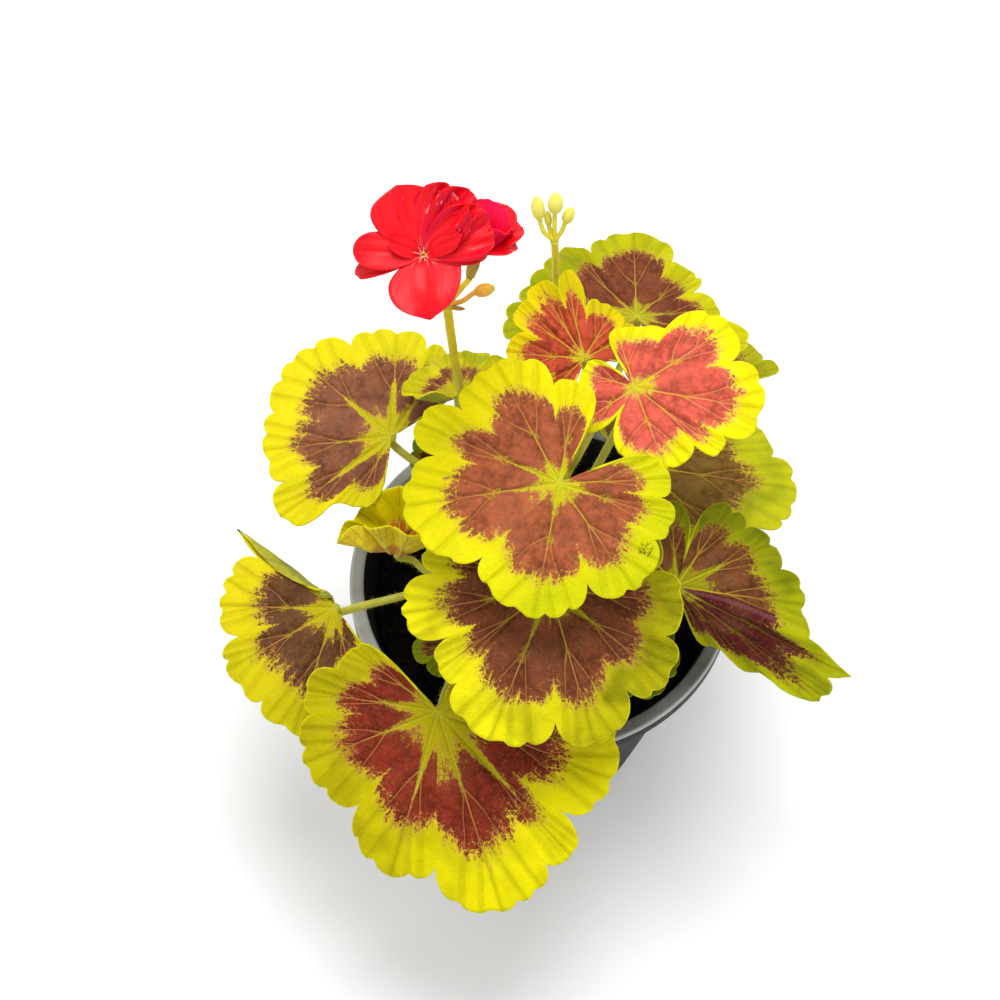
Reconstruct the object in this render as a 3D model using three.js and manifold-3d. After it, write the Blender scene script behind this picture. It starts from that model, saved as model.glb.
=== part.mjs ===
// A potted zonal pelargonium of the kind 'Occold Shield': a black nursery pot of soil, one short main stem,
// sixteen lobed leaves on curved petioles, a stalk with two red semi-double blooms and a young bud cluster.
// Millimetres, +Z up. The origin is the centre of the pot's base and -Y is the front.
import * as THREE from 'three';
import { mergeVertices } from 'three/addons/utils/BufferGeometryUtils.js';
import Module from 'manifold-3d';

const wasm = await Module();
wasm.setup();

// Pot: a thin tapered wall with a flat turned-over lip
const POT_HEIGHT = 80;
const LIP_RADIUS = 52.5;
const LIP_INNER_RADIUS = 48.7;
const LIP_SKIRT = 5;
const BASE_RADIUS = 31.5;
const WALL = 1.2;
const FLOOR = 2;
const RIM_ROUND = 0.8;
const POT_SIDES = 48;
const DRAIN_HOLES = 6;
const DRAIN_RADIUS = 3.5;
const DRAIN_CIRCLE = 20;

// Soil: its top lies below the lip and rises and falls a little
const SOIL_TOP = 70;
const SOIL_RELIEF = 1.1;
const SOIL_RINGS = [0.96, 0.82, 0.66, 0.48, 0.3, 0.16];
const SOIL_SIDES = 40;

// Main stem: leans a little and thins towards its tip
const STEM_FOOT = [4, 7, 52];
const STEM_TIP = [2, 4, 124];
const STEM_RADIUS = 4.6;
const STEM_TIP_RADIUS = 3.4;
const STEM_RINGS = 12;
const STEM_SIDES = 16;

// Clearance between touching pieces, and where petioles and stalks meet the main stem
const GAP = 0.3;
const JOINT_GAP = 0.5;

// Leaf blades: thickness, height of the pleat between two lobes, shape of a lobe, and fineness of the mesh
const BLADE = 0.8;
const PLEAT = 1.1;
const LOBE_ROUNDNESS = 2;
const SINUS_ROUNDNESS = 2.6;
const LEAF_RINGS = [0.4, 0.75, 1];
const POINTS_PER_LOBE = 4;
const POINTS_PER_SMALL_LOBE = 3;

// Little round leaves: the outline starts and ends this far from the middle, at this radius
const SINUS_ANGLE = 150;
const SINUS_RADIUS = 5;

// A leaf's lobes go round from its right side to its left, seen from above, with 0 along its middle.
// Each lobe is [vein direction in degrees, vein length, direction of the next notch, radius of that notch,
// roundness], and `start` is the [direction, radius] where the outline begins beside the petiole.
// A leaf stands at `at`, heads along a compass angle, and is then dipped and rolled, all in degrees.
// Each fold is [towards, from, over, by]: past `from` mm towards that direction the blade turns by an angle.
// `joins` is the [compass angle, height] where the petiole leaves the main stem; `via` bends it on its way.
const RED_ZONE_LEAF = 0x9a5040;
const YOUNG_LEAF = 0xcd5541;
const GREEN_LEAF = 0xb4be28;

const LEAVES = [
  {
    name: 'leaf_centre', colour: RED_ZONE_LEAF,
    at: [3, -20, 160], heading: -137, dip: 15, roll: -16, cup: -2, start: [-163, 10],
    lobes: [[-145, 26, -132, 25], [-108, 34, -83, 31], [-69, 38, -58, 32], [-37, 38.5, -1, 27, 1.45],
      [34, 33, 60, 26.5, 1.7], [80, 31.5, 104, 28, 1.7], [117, 29, 127, 26], [138, 27, 157, 11]],
    joins: [-90, 119], via: [[3, -14, 146], [3, -7, 130]],
  },
  {
    name: 'leaf_front', colour: RED_ZONE_LEAF,
    at: [1, -35, 135], heading: -92, dip: 25, roll: -1, cup: -2, start: [-160, 10],
    lobes: [[-140, 29, -124, 26], [-108, 33, -96, 30], [-79, 37, -63, 28.5], [-52, 34, -43, 34],
      [-20, 40, 4, 34], [18, 40, 39, 32, 1.7], [54, 37, 70, 32], [86, 33.5, 102, 27], [118, 30, 150, 10]],
    joins: [-100, 108], via: [[1, -28, 123], [1, -14, 113]],
  },
  {
    name: 'leaf_low_front', colour: RED_ZONE_LEAF,
    at: [-27, -51, 100], heading: -76, dip: 33, roll: 13, start: [-150, 8],
    lobes: [[-137, 28, -124, 29.5], [-110, 35, -100, 34], [-80, 37.5, -52, 33, 1.6],
      [-28, 44.5, -13, 41.5, 1.5], [6, 54, 24, 49, 1.7], [31, 50, 40, 41],
      [58, 48, 80, 40], [100, 36, 145, 10]],
    joins: [-122, 97], via: [[-25, -43, 97], [-16, -22, 95]],
  },
  {
    name: 'leaf_low_left', colour: RED_ZONE_LEAF,
    at: [-55, -18, 95], heading: -144, dip: 18, roll: -8, start: [-150, 6],
    lobes: [[-118, 9, -104, 12], [-87, 33, -66, 28, 1.6], [-42, 32.5, -24, 28.5], [-10, 34.5, 14, 33],
      [34, 35.5, 52, 27], [66, 20, 90, 8]],
    folds: [[-173, 1, 2.6, 150]],
    joins: [-155, 91], via: [[-48, -16.5, 93.5], [-36, -14.5, 96], [-16, -6, 94]],
  },
  {
    name: 'leaf_upper_left', colour: RED_ZONE_LEAF,
    at: [-40, 20, 120], heading: 172, dip: -2, roll: -12, start: [-140, 10],
    lobes: [[-113, 29, -102, 27], [-84, 31, -58, 29], [-33, 35, -3, 33, 1.6], [15, 34, 34, 32],
      [47, 36.5, 60, 27.5], [72, 22, 92, 9]],
    joins: [172, 105], via: [[-35, 18, 112], [-18, 10, 107]],
  },
  {
    name: 'leaf_small_back_left', colour: GREEN_LEAF, small: true,
    at: [-22, 23.5, 135], heading: 91, dip: 20, roll: 0, start: [-150, 6],
    lobes: [[-125, 15, -105, 15], [-80, 18, -62, 17], [-42, 20, -30, 18], [-15, 19, -2, 17.5],
      [12, 18, 34, 13.5], [56, 15.5, 70, 14], [86, 15, 105, 13], [125, 12, 150, 5]],
    folds: [[180, 2, 4, 70]],
    joins: [172, 117], via: [[-20, 20, 128], [-10, 10, 120]],
  },
  {
    name: 'leaf_young_folded', colour: YOUNG_LEAF, small: true,
    at: [10, 22.5, 152], heading: 102, dip: -17, roll: -11, start: [-100, 9],
    lobes: [[-69, 19, -58, 16], [-42, 18, -13, 14], [0, 24.5, 7, 19.5], [18, 23.5, 30, 22.5],
      [40, 22, 53, 17], [72, 20, 104, 11], [122, 12, 150, 6]],
    folds: [[-90, -1, 3, -35]],
    joins: [55, 116], via: [[10, 18, 140], [9, 12, 124]],
  },
  {
    name: 'leaf_young_right', colour: YOUNG_LEAF,
    at: [22, 8, 160], heading: -48, dip: 13, roll: 8, start: [-172, 5],
    lobes: [[-148, 14, -122, 14], [-95, 18, -71, 8, 1.7], [-24, 21, 4, 19.5, 1.7], [12, 26.5, 19, 26],
      [40, 32.5, 65, 26.5], [84, 30, 112, 18, 1.5], [155, 16, 170, 5]],
    joins: [0, 118], via: [[19, 7, 146], [13, 5, 126]],
  },
  {
    name: 'leaf_back', colour: RED_ZONE_LEAF,
    at: [26, 59, 120], heading: 91, dip: 15, roll: 0, start: [-160, 10],
    lobes: [[-140, 28, -128, 27], [-112, 32, -97, 24], [-82, 23, -60, 18], [-40, 25.5, -26, 26.5],
      [-2, 38.5, 22, 31, 1.6], [30, 37, 38, 35], [60, 34, 78, 32], [98, 37, 115, 33], [135, 28, 160, 10]],
    joins: [72, 106], via: [[23, 50, 115], [13, 28, 109]],
  },
  {
    name: 'leaf_back_right', colour: GREEN_LEAF, small: true,
    at: [46.5, 58, 88], heading: 19, dip: 9, roll: 3, start: [-150, 6],
    lobes: [[-120, 15, -95, 14], [-70, 15, -45, 13], [-24, 15, -5, 15], [3, 24.5, 12, 21.5],
      [24, 22, 34, 20], [55, 20, 75, 17], [100, 16, 120, 13], [135, 13, 150, 5]],
    joins: [48, 86], via: [[40, 50, 86], [20, 26, 89]],
  },
  {
    name: 'leaf_right', colour: RED_ZONE_LEAF,
    at: [25, 21, 105], heading: -5, dip: 9, roll: -4, start: [-118, 9],
    lobes: [[-98, 27, -88, 27], [-68, 35, -50, 32], [-36, 40, -24, 39], [0, 45, 13, 40],
      [27, 39.5, 40, 33], [58, 28, 78, 25], [104, 23, 140, 9]],
    joins: [25, 95], via: [[19, 18, 99]],
  },
  {
    name: 'leaf_tented_right', colour: RED_ZONE_LEAF,
    at: [33, -28.5, 125], heading: -24, dip: 15, roll: 0, start: [-80, 5],
    lobes: [[-42, 12, -33, 16], [-21, 30, -15, 36], [-9, 46, -5, 46, 1.6], [0, 48, 9, 35, 1.2],
      [22, 34, 39, 30], [54, 30, 68, 27], [82, 29, 99, 9], [116, 24, 135, 20], [155, 22, 178, 6]],
    folds: [[-90, 0, 3, -70]],
    joins: [-40, 111], via: [[26, -22, 120], [14, -9, 114]],
  },
  {
    name: 'leaf_curled_young', colour: GREEN_LEAF, small: true,
    at: [-38, -7, 108], heading: 172, dip: 0, roll: 0, start: [-150, 5],
    lobes: [[-120, 14, -105, 13], [-85, 17, -60, 14.5], [-38, 15, -25, 14], [-10, 16, 5, 14.5],
      [22, 16.5, 45, 13], [66, 15, 85, 13], [105, 14, 150, 5]],
    folds: [[90, 1, 4, 70], [-90, 2, 6, 40]],
    joins: [-168, 98], via: [[-31, -8, 101], [-16, -3, 99]],
  },
  {
    name: 'leaf_under_left', colour: GREEN_LEAF, small: true,
    at: [-24, -24, 88], heading: 175, dip: 8, roll: 0, start: [-150, 5], lobes: evenLobes(6, 11),
    joins: [-130, 84], via: [[-20, -18, 85]],
  },
  {
    name: 'leaf_under_right', colour: GREEN_LEAF, small: true,
    at: [22.5, -31, 95], heading: -35, dip: 12, roll: 0, start: [-150, 6], lobes: evenLobes(6, 15),
    joins: [-62, 99], via: [[19, -25, 92], [10, -10, 95]],
  },
  {
    name: 'leaf_under_back', colour: GREEN_LEAF, small: true,
    at: [-26, 29, 98], heading: 175, dip: 5, roll: 0, start: [-150, 5], lobes: evenLobes(6, 10.5),
    joins: [150, 91], via: [[-19, 21, 94]],
  },
];
const PETIOLE_RADIUS = 1.25;
const SMALL_PETIOLE_RADIUS = 1;
const PETIOLE_DROP = 5;
const ROD_SIDES = 6;

// Flower stalk, from its joint on the main stem up to the umbel, with two stalked calyces and one bud
const FLOWER_STALK = [[-14, 7, 133], [-20, 9.5, 150], [-22, 10.5, 165], [-23, 7, 185], [-23.4, 0, 205]];
const FLOWER_STALK_JOINS = [125, 116];
const STALK_RADIUS = 1.3;
const STALK_STEPS = 14;
const BUD_STALK_RADIUS = 1.17;
const PEDICEL_RADIUS = 0.8;
const BRACT_RADIUS = 0.8;
const CALYX_LENGTH = 6;
const CALYX_RADIUS = 1.9;
const SIDE_BUD = { from: [-17.2, 2.5, 206], tip: [-12.4, 3.1, 207.3], radius: 1.6, via: [-20, 1, 204.8] };
const BRACTS = [[-19, -1.5, 204], [-25.5, -2.4, 206.5], [-25, 3, 204]];

// Two open blooms. Each faces along `faces` from its throat. A petal's `turn` is seen from the front, with 0
// to the right, and its `spread` is its angle away from the bloom's axis.
const BLOOMS = [
  {
    name: 'bloom_front', throat: [-28, 0.7, 222], faces: [-0.12, -0.5, 0.86], pedicel: [[-25.5, 3.5, 209]],
    petals: [
      { turn: 117, spread: 72, length: 17.5, width: 17, curl: 14 },
      { turn: 80, spread: 68, length: 17, width: 15, curl: 10 },
      { turn: 52, spread: 74, length: 17.5, width: 13, curl: 10 },
      { turn: 178, spread: 80, length: 17.5, width: 10, curl: 18 },
      { turn: 195, spread: 86, length: 17, width: 5, curl: 16 },
      { turn: 272, spread: 76, length: 16.5, width: 18, curl: 22 },
      { turn: 23, spread: 62, length: 12.5, width: 6, curl: 4 },
      { turn: 158, spread: 54, length: 10.5, width: 5, curl: 4 },
    ],
  },
  {
    name: 'bloom_side', throat: [-16, 10.5, 206], faces: [0.25, 0.5, 0.8], pedicel: [[-20.3, 6, 203]],
    petals: [
      { turn: 170, spread: 20, length: 17, width: 13, curl: 8 },
      { turn: 160, spread: 42, length: 16, width: 13, curl: 12 },
      { turn: 60, spread: 12, length: 15, width: 11, curl: 16 },
      { turn: 25, spread: 45, length: 13.5, width: 12, curl: 20 },
      { turn: 0, spread: 80, length: 11.5, width: 12, curl: 10 },
      { turn: 190, spread: 88, length: 10, width: 9, curl: 6 },
      { turn: 270, spread: 25, length: 12, width: 10, curl: 10 },
      { turn: 320, spread: 50, length: 11, width: 10, curl: 12 },
    ],
  },
];
const PETAL = 0.7;
const PETAL_START = 24;
const PETAL_ROWS = 4;
const PETAL_COLUMNS = 4;
const THROAT_RADIUS = 1.7;

// Young bud cluster on its own stalk behind the centre leaves
const BUD_STALK = [[3, 18, 130], [3, 31, 139], [3, 42, 149], [3, 46.5, 158], [2.3, 42.5, 174.5]];
const BUD_STALK_JOINS = [92, 120];
const BUDS = [
  { from: [-1.4, 44.5, 180], tip: [-2.4, 46.9, 186.4], radius: 1.7, via: [-0.3, 43.1, 177] },
  { from: [2.3, 45.1, 182], tip: [2.5, 46.8, 187.8], radius: 2, via: [2.3, 43.6, 178.5] },
  { from: [4.9, 44.4, 179], tip: [6.6, 45.8, 183.4], radius: 1.3, via: [3.9, 43.4, 176.5] },
  { from: [0.9, 44.6, 177.5], tip: [0.4, 46.6, 181.2], radius: 1, via: [1.5, 43.4, 176] },
];

// Lobes of an evenly round little leaf
function evenLobes(count, length) {
  const step = (2 * SINUS_ANGLE) / count;
  return Array.from({ length: count }, (_, i) => {
    const vein = -SINUS_ANGLE + step * (i + 0.5);
    const last = i === count - 1;
    return [vein, length, vein + step / 2, last ? SINUS_RADIUS : length * 0.86];
  });
}

const radians = THREE.MathUtils.degToRad;
const vector = (list) => new THREE.Vector3(...list);

// Solids: every piece is closed, with shared corners merged, before it is joined or cut
function solid(geometry) {
  const bare = geometry.index ? geometry.toNonIndexed() : geometry.clone();
  for (const name of Object.keys(bare.attributes)) {
    if (name !== 'position') bare.deleteAttribute(name);
  }
  const merged = mergeVertices(bare, 1e-4);
  const position = merged.attributes.position;
  const index = Array.from(merged.index.array);
  const triangles = [];
  let volume = 0;
  const a = new THREE.Vector3();
  const b = new THREE.Vector3();
  const c = new THREE.Vector3();
  for (let i = 0; i < index.length; i += 3) {
    const [p, q, r] = index.slice(i, i + 3);
    if (p === q || q === r || r === p) continue;
    triangles.push(p, q, r);
    a.fromBufferAttribute(position, p);
    b.fromBufferAttribute(position, q);
    c.fromBufferAttribute(position, r);
    volume += a.dot(b.cross(c));
  }
  if (volume < 0) triangles.reverse();
  return new wasm.Manifold(new wasm.Mesh({
    numProp: 3,
    vertProperties: new Float32Array(position.array),
    triVerts: new Uint32Array(triangles),
  }));
}

// Joins solids and keeps only the outer skin, so that no pocket is sealed in where petals cross
function join(solids) {
  const skins = solids.reduce((sum, next) => sum.add(next)).decompose();
  return skins.reduce((most, next) => (next.volume() > most.volume() ? next : most));
}

function mesh(name, colour, roughness, body) {
  const { vertProperties, triVerts } = body.getMesh();
  const geometry = new THREE.BufferGeometry();
  geometry.setAttribute('position', new THREE.BufferAttribute(new Float32Array(vertProperties), 3));
  geometry.setIndex(new THREE.BufferAttribute(new Uint32Array(triVerts), 1));
  geometry.computeVertexNormals();
  const material = new THREE.MeshStandardMaterial({ color: colour, roughness, metalness: 0 });
  const piece = new THREE.Mesh(geometry, material);
  piece.name = name;
  return piece;
}

// A round rod along a smooth curve through the given points
function rod(points, radius, steps) {
  const section = new THREE.Shape();
  for (let i = 0; i < ROD_SIDES; i += 1) {
    const angle = (i / ROD_SIDES) * Math.PI * 2;
    const x = radius * Math.cos(angle);
    const y = radius * Math.sin(angle);
    if (i === 0) section.moveTo(x, y);
    else section.lineTo(x, y);
  }
  section.closePath();
  const path = new THREE.CatmullRomCurve3(points, false, 'centripetal');
  return solid(new THREE.ExtrudeGeometry(section, { steps, extrudePath: path, curveSegments: 1 }));
}

// An egg-shaped solid from one point to another
function egg(from, to, radius) {
  const length = from.distanceTo(to);
  const ball = new THREE.SphereGeometry(1, 8, 5);
  ball.scale(radius, length / 2, radius);
  return stand(ball, to.clone().sub(from).normalize(), from.clone().lerp(to, 0.5));
}

// A sheet of even thickness about a middle surface, with the same triangles on both of its faces
function sheet(points, faces, thickness) {
  const normals = points.map(() => new THREE.Vector3());
  const edges = new Map();
  for (const [a, b, c] of faces) {
    const normal = points[b].clone().sub(points[a]).cross(points[c].clone().sub(points[a]));
    for (const corner of [a, b, c]) normals[corner].add(normal);
    for (const [p, q] of [[a, b], [b, c], [c, a]]) {
      if (!edges.delete(`${q} ${p}`)) edges.set(`${p} ${q}`, [p, q]);
    }
  }
  const upper = points.map((p, i) => p.clone().addScaledVector(normals[i].normalize(), thickness / 2));
  const lower = points.map((p, i) => p.clone().addScaledVector(normals[i], -thickness / 2));
  const corners = [];
  for (const [a, b, c] of faces) {
    corners.push(upper[a], upper[b], upper[c], lower[c], lower[b], lower[a]);
  }
  for (const [p, q] of edges.values()) {
    corners.push(lower[p], lower[q], upper[q], lower[p], upper[q], upper[p]);
  }
  return solid(new THREE.BufferGeometry().setFromPoints(corners));
}

// Past a line across the sheet, the sheet rolls round a short arc and then runs straight on
function fold(point, [towards, from, over, by]) {
  const c = Math.cos(radians(towards));
  const s = Math.sin(radians(towards));
  const along = point.x * c + point.y * s - from;
  const across = -point.x * s + point.y * c;
  if (along <= 0) return point;
  const arc = over / radians(by);
  const turn = Math.min(along, over) / arc;
  const beyond = Math.max(along - over, 0);
  const newAlong = from + (arc - point.z) * Math.sin(turn) + beyond * Math.cos(turn);
  const newHeight = arc - (arc - point.z) * Math.cos(turn) + beyond * Math.sin(turn);
  return new THREE.Vector3(newAlong * c - across * s, newAlong * s + across * c, newHeight);
}

// Leaf outline, as [direction, radius, lobe coordinate], with each lobe swelling between two notches
function leafOutline(leaf) {
  const perLobe = leaf.small ? POINTS_PER_SMALL_LOBE : POINTS_PER_LOBE;
  const outline = [];
  let [before, inner] = leaf.start;
  leaf.lobes.forEach(([vein, length, after, notch, roundness = LOBE_ROUNDNESS], i) => {
    const last = i === leaf.lobes.length - 1;
    for (let j = 0; j < perLobe + (last ? 1 : 0); j += 1) {
      const across = -Math.cos((Math.PI * j) / perLobe);
      const side = across < 0 ? vein - before : after - vein;
      const root = across < 0 ? inner : notch;
      const atSinus = (i === 0 && across < 0) || (last && across > 0);
      const power = atSinus ? SINUS_ROUNDNESS : roundness;
      const swell = (1 - Math.abs(across) ** power) ** (1 / power);
      outline.push([vein + side * across, root + (length - root) * swell, i + across / 2]);
    }
    before = after;
    inner = notch;
  });
  return outline;
}

function leafPlace(leaf) {
  const turn = new THREE.Euler(radians(leaf.roll), radians(leaf.dip), radians(leaf.heading), 'ZYX');
  const place = new THREE.Matrix4().makeRotationFromEuler(turn);
  return place.setPosition(...leaf.at);
}

function leafBlade(leaf) {
  const outline = leafOutline(leaf);
  const mean = leaf.lobes.reduce((sum, lobe) => sum + lobe[1], 0) / leaf.lobes.length;
  const place = leafPlace(leaf);
  const points = [new THREE.Vector3()];
  for (const ring of LEAF_RINGS) {
    for (const [direction, radius, lobe] of outline) {
      const reach = ring * radius;
      const ridge = 0.5 - 0.5 * Math.cos(2 * Math.PI * lobe);
      const pleat = PLEAT * Math.min(1.6 * ring, 1) * ring * ridge;
      const height = (leaf.cup ?? 0) * (reach / mean) ** 2 + pleat;
      const x = reach * Math.cos(radians(direction));
      const y = reach * Math.sin(radians(direction));
      points.push(new THREE.Vector3(x, y, height));
    }
  }
  const shaped = points.map((point) => (leaf.folds ?? []).reduce(fold, point).applyMatrix4(place));
  const count = outline.length;
  const faces = [];
  for (let i = 0; i < count - 1; i += 1) {
    faces.push([0, i + 1, i + 2]);
    for (let ring = 0; ring < LEAF_RINGS.length - 1; ring += 1) {
      const inner = 1 + ring * count + i;
      const outer = inner + count;
      faces.push([inner, outer, outer + 1], [inner, outer + 1, inner + 1]);
    }
  }
  return sheet(shaped, faces, BLADE);
}

function stemRadius(height) {
  const share = (height - SOIL_TOP) / (STEM_TIP[2] - SOIL_TOP);
  return THREE.MathUtils.lerp(STEM_RADIUS, STEM_TIP_RADIUS, Math.max(0, share));
}

// The point where a petiole or stalk meets the main stem, and the straight way out from it
function stemJoint([compass, height]) {
  const foot = vector(STEM_FOOT);
  const tip = vector(STEM_TIP);
  const share = (height - foot.z) / (tip.z - foot.z);
  const centre = foot.clone().lerp(tip, share);
  const out = new THREE.Vector3(Math.cos(radians(compass)), Math.sin(radians(compass)), 0);
  const reach = stemRadius(height) + JOINT_GAP;
  const meets = centre.clone().addScaledVector(out, reach);
  const clear = centre.clone().addScaledVector(out, reach + 4);
  clear.z += 1;
  return [meets, clear];
}

function makeLeaf(leaf) {
  const normal = new THREE.Vector3(0, 0, 1).transformDirection(leafPlace(leaf));
  const junction = vector(leaf.at);
  const under = junction.clone().addScaledVector(normal, -PETIOLE_DROP);
  const route = [junction, under, ...leaf.via.map(vector), ...stemJoint(leaf.joins).reverse()];
  const radius = leaf.small ? SMALL_PETIOLE_RADIUS : PETIOLE_RADIUS;
  const petiole = rod(route, radius, 4 + leaf.via.length * 3);
  return mesh(leaf.name, leaf.colour, 0.55, leafBlade(leaf).add(petiole));
}

// A shape made round +Y is stood up along a direction at a place
function stand(geometry, direction, place) {
  geometry.applyQuaternion(new THREE.Quaternion().setFromUnitVectors(new THREE.Vector3(0, 1, 0), direction));
  geometry.translate(place.x, place.y, place.z);
  return solid(geometry);
}

function stemLean() {
  return vector(STEM_TIP).sub(vector(STEM_FOOT)).normalize();
}

// Main stem: round, thinning upwards, with a rounded growing tip
function makeStem() {
  const length = vector(STEM_FOOT).distanceTo(vector(STEM_TIP));
  const profile = [new THREE.Vector2(0, 0)];
  for (let i = 0; i <= STEM_RINGS; i += 1) {
    const height = (length * i) / STEM_RINGS;
    profile.push(new THREE.Vector2(stemRadius(STEM_FOOT[2] + height), height));
  }
  profile.push(new THREE.Vector2(STEM_TIP_RADIUS * 0.6, length + 2.2), new THREE.Vector2(0, length + 3));
  const stem = new THREE.LatheGeometry(profile, STEM_SIDES);
  return mesh('main_stem', 0x8c8f3c, 0.7, stand(stem, stemLean(), vector(STEM_FOOT)));
}

// Pot: turned profile with a flat lip and its hanging skirt, and a ring of drainage holes round the base
function makePot() {
  const underLip = POT_HEIGHT - 1.5 * WALL;
  const skirtFoot = POT_HEIGHT - LIP_SKIRT;
  const profile = [
    [0, 0], [BASE_RADIUS - RIM_ROUND, 0], [BASE_RADIUS, RIM_ROUND],
    [LIP_INNER_RADIUS + WALL, underLip], [LIP_RADIUS - WALL, underLip], [LIP_RADIUS - WALL, skirtFoot],
    [LIP_RADIUS, skirtFoot], [LIP_RADIUS, POT_HEIGHT - RIM_ROUND], [LIP_RADIUS - RIM_ROUND, POT_HEIGHT],
    [LIP_INNER_RADIUS + RIM_ROUND, POT_HEIGHT], [LIP_INNER_RADIUS, POT_HEIGHT - RIM_ROUND],
    [BASE_RADIUS - WALL, FLOOR], [0, FLOOR],
  ].map(([r, z]) => new THREE.Vector2(r, z));
  const shell = new THREE.LatheGeometry(profile, POT_SIDES);
  shell.rotateX(Math.PI / 2);
  let pot = solid(shell);
  for (let i = 0; i < DRAIN_HOLES; i += 1) {
    const angle = (i / DRAIN_HOLES) * Math.PI * 2;
    const drill = new THREE.CylinderGeometry(DRAIN_RADIUS, DRAIN_RADIUS, 3 * FLOOR, 12);
    drill.rotateX(Math.PI / 2);
    drill.translate(DRAIN_CIRCLE * Math.cos(angle), DRAIN_CIRCLE * Math.sin(angle), 0);
    pot = pot.subtract(solid(drill));
  }
  return mesh('pot', 0x2b2d2f, 0.5, pot);
}

// Soil: fills the pot with a small gap to its wall, has an uneven top and a plain hole for the stem
function makeSoil() {
  const innerFoot = BASE_RADIUS - WALL;
  const wallSlope = (LIP_INNER_RADIUS - innerFoot) / (POT_HEIGHT - RIM_ROUND - FLOOR);
  const fillRadius = (height) => innerFoot + wallSlope * (height - FLOOR) - 1.5 * GAP;
  const bottom = FLOOR + GAP;
  const edge = SOIL_TOP - 2 * SOIL_RELIEF;
  const profile = [[0, bottom], [fillRadius(bottom), bottom], [fillRadius(edge), edge]];
  for (const share of SOIL_RINGS) profile.push([fillRadius(edge) * share, SOIL_TOP]);
  profile.push([0, SOIL_TOP]);
  const fill = new THREE.LatheGeometry(profile.map(([r, z]) => new THREE.Vector2(r, z)), SOIL_SIDES);
  fill.rotateX(Math.PI / 2);
  const position = fill.attributes.position;
  for (let i = 0; i < position.count; i += 1) {
    if (position.getZ(i) < SOIL_TOP - 0.5) continue;
    const x = position.getX(i);
    const y = position.getY(i);
    const relief = Math.sin(0.21 * x + 1) * Math.cos(0.17 * y) + 0.6 * Math.sin(0.43 * x - 0.37 * y);
    position.setZ(i, SOIL_TOP + SOIL_RELIEF * relief);
  }
  const depth = 2 * (SOIL_TOP - STEM_FOOT[2]);
  const hole = new THREE.CylinderGeometry(STEM_RADIUS + GAP, STEM_RADIUS + GAP, depth, STEM_SIDES);
  hole.translate(0, depth / 2 - GAP, 0);
  return mesh('soil', 0x1d1712, 0.95, solid(fill).subtract(stand(hole, stemLean(), vector(STEM_FOOT))));
}

// Blooms: petals spread from a short throat
function bloomFrame(bloom) {
  const out = vector(bloom.faces).normalize();
  const right = new THREE.Vector3(1, 0, 0);
  right.addScaledVector(out, -right.dot(out)).normalize();
  const up = out.clone().cross(right);
  return new THREE.Matrix4().makeBasis(right, up, out).setPosition(...bloom.throat);
}

function petal({ turn, spread, length, width, curl }, frame) {
  const start = Math.min(PETAL_START, spread);
  const lie = new THREE.Matrix4().makeRotationFromEuler(
    new THREE.Euler(0, radians(start - 90), radians(turn), 'ZYX'),
  );
  const place = frame.clone().multiply(lie);
  const points = [];
  for (let row = 0; row <= PETAL_ROWS; row += 1) {
    const along = row / PETAL_ROWS;
    const swell = (0.16 + along ** 0.8) * Math.sqrt(1 - 0.55 * along ** 6);
    for (let column = 0; column <= PETAL_COLUMNS; column += 1) {
      const across = (2 * column) / PETAL_COLUMNS - 1;
      const x = length * (0.04 + 0.96 * along) * (1 - 0.14 * across ** 2 * along);
      const y = (width / 2) * across * Math.min(swell, 1);
      const z = 0.05 * width * across ** 2 * along;
      points.push(new THREE.Vector3(x, y, z));
    }
  }
  const folds = [[0, 0.55 * length, 0.4 * length, -curl]];
  if (spread > start) folds.push([0, 1.2, 4, start - spread]);
  const shaped = points.map((point) => folds.reduce(fold, point).applyMatrix4(place));
  const faces = [];
  const stride = PETAL_COLUMNS + 1;
  for (let row = 0; row < PETAL_ROWS; row += 1) {
    for (let column = 0; column < PETAL_COLUMNS; column += 1) {
      const corner = row * stride + column;
      faces.push([corner, corner + stride, corner + stride + 1], [corner, corner + stride + 1, corner + 1]);
    }
  }
  return sheet(shaped, faces, PETAL);
}

function makeBloom(bloom) {
  const frame = bloomFrame(bloom);
  const throat = new THREE.SphereGeometry(THROAT_RADIUS, 8, 5);
  throat.translate(...bloom.throat);
  const petals = bloom.petals.map((one) => petal(one, frame));
  return mesh(bloom.name, 0xe8173a, 0.5, join([solid(throat), ...petals]));
}

// A bud on its own little stalk, grown from the head of the stalk that carries it
function stalkedBud(head, bud) {
  const from = vector(bud.from);
  const tip = vector(bud.tip);
  const seat = from.clone().lerp(tip, 0.2);
  const stalk = rod([head, vector(bud.via), from, seat], PEDICEL_RADIUS, 6);
  return egg(from, tip, bud.radius).add(stalk);
}

function makeFlowerStalk() {
  const route = [...stemJoint(FLOWER_STALK_JOINS), ...FLOWER_STALK.map(vector)];
  const head = route[route.length - 1];
  const low = head.clone().setZ(head.z - 2);
  const high = head.clone().setZ(head.z + 1.5);
  const parts = [rod(route, STALK_RADIUS, STALK_STEPS), egg(low, high, STALK_RADIUS + 0.5)];
  parts.push(stalkedBud(head, SIDE_BUD));
  for (const bract of BRACTS) parts.push(egg(head, vector(bract), BRACT_RADIUS));
  for (const bloom of BLOOMS) {
    const out = vector(bloom.faces).normalize();
    const cup = vector(bloom.throat).addScaledVector(out, -THROAT_RADIUS - GAP);
    const base = cup.clone().addScaledVector(out, -CALYX_LENGTH);
    const sunk = base.clone().addScaledVector(out, 1);
    parts.push(rod([head, ...bloom.pedicel.map(vector), base, sunk], PEDICEL_RADIUS, 8));
    parts.push(makeCalyx(base, out));
  }
  return mesh('flower_stalk', 0xa8b23c, 0.6, join(parts));
}

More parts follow.
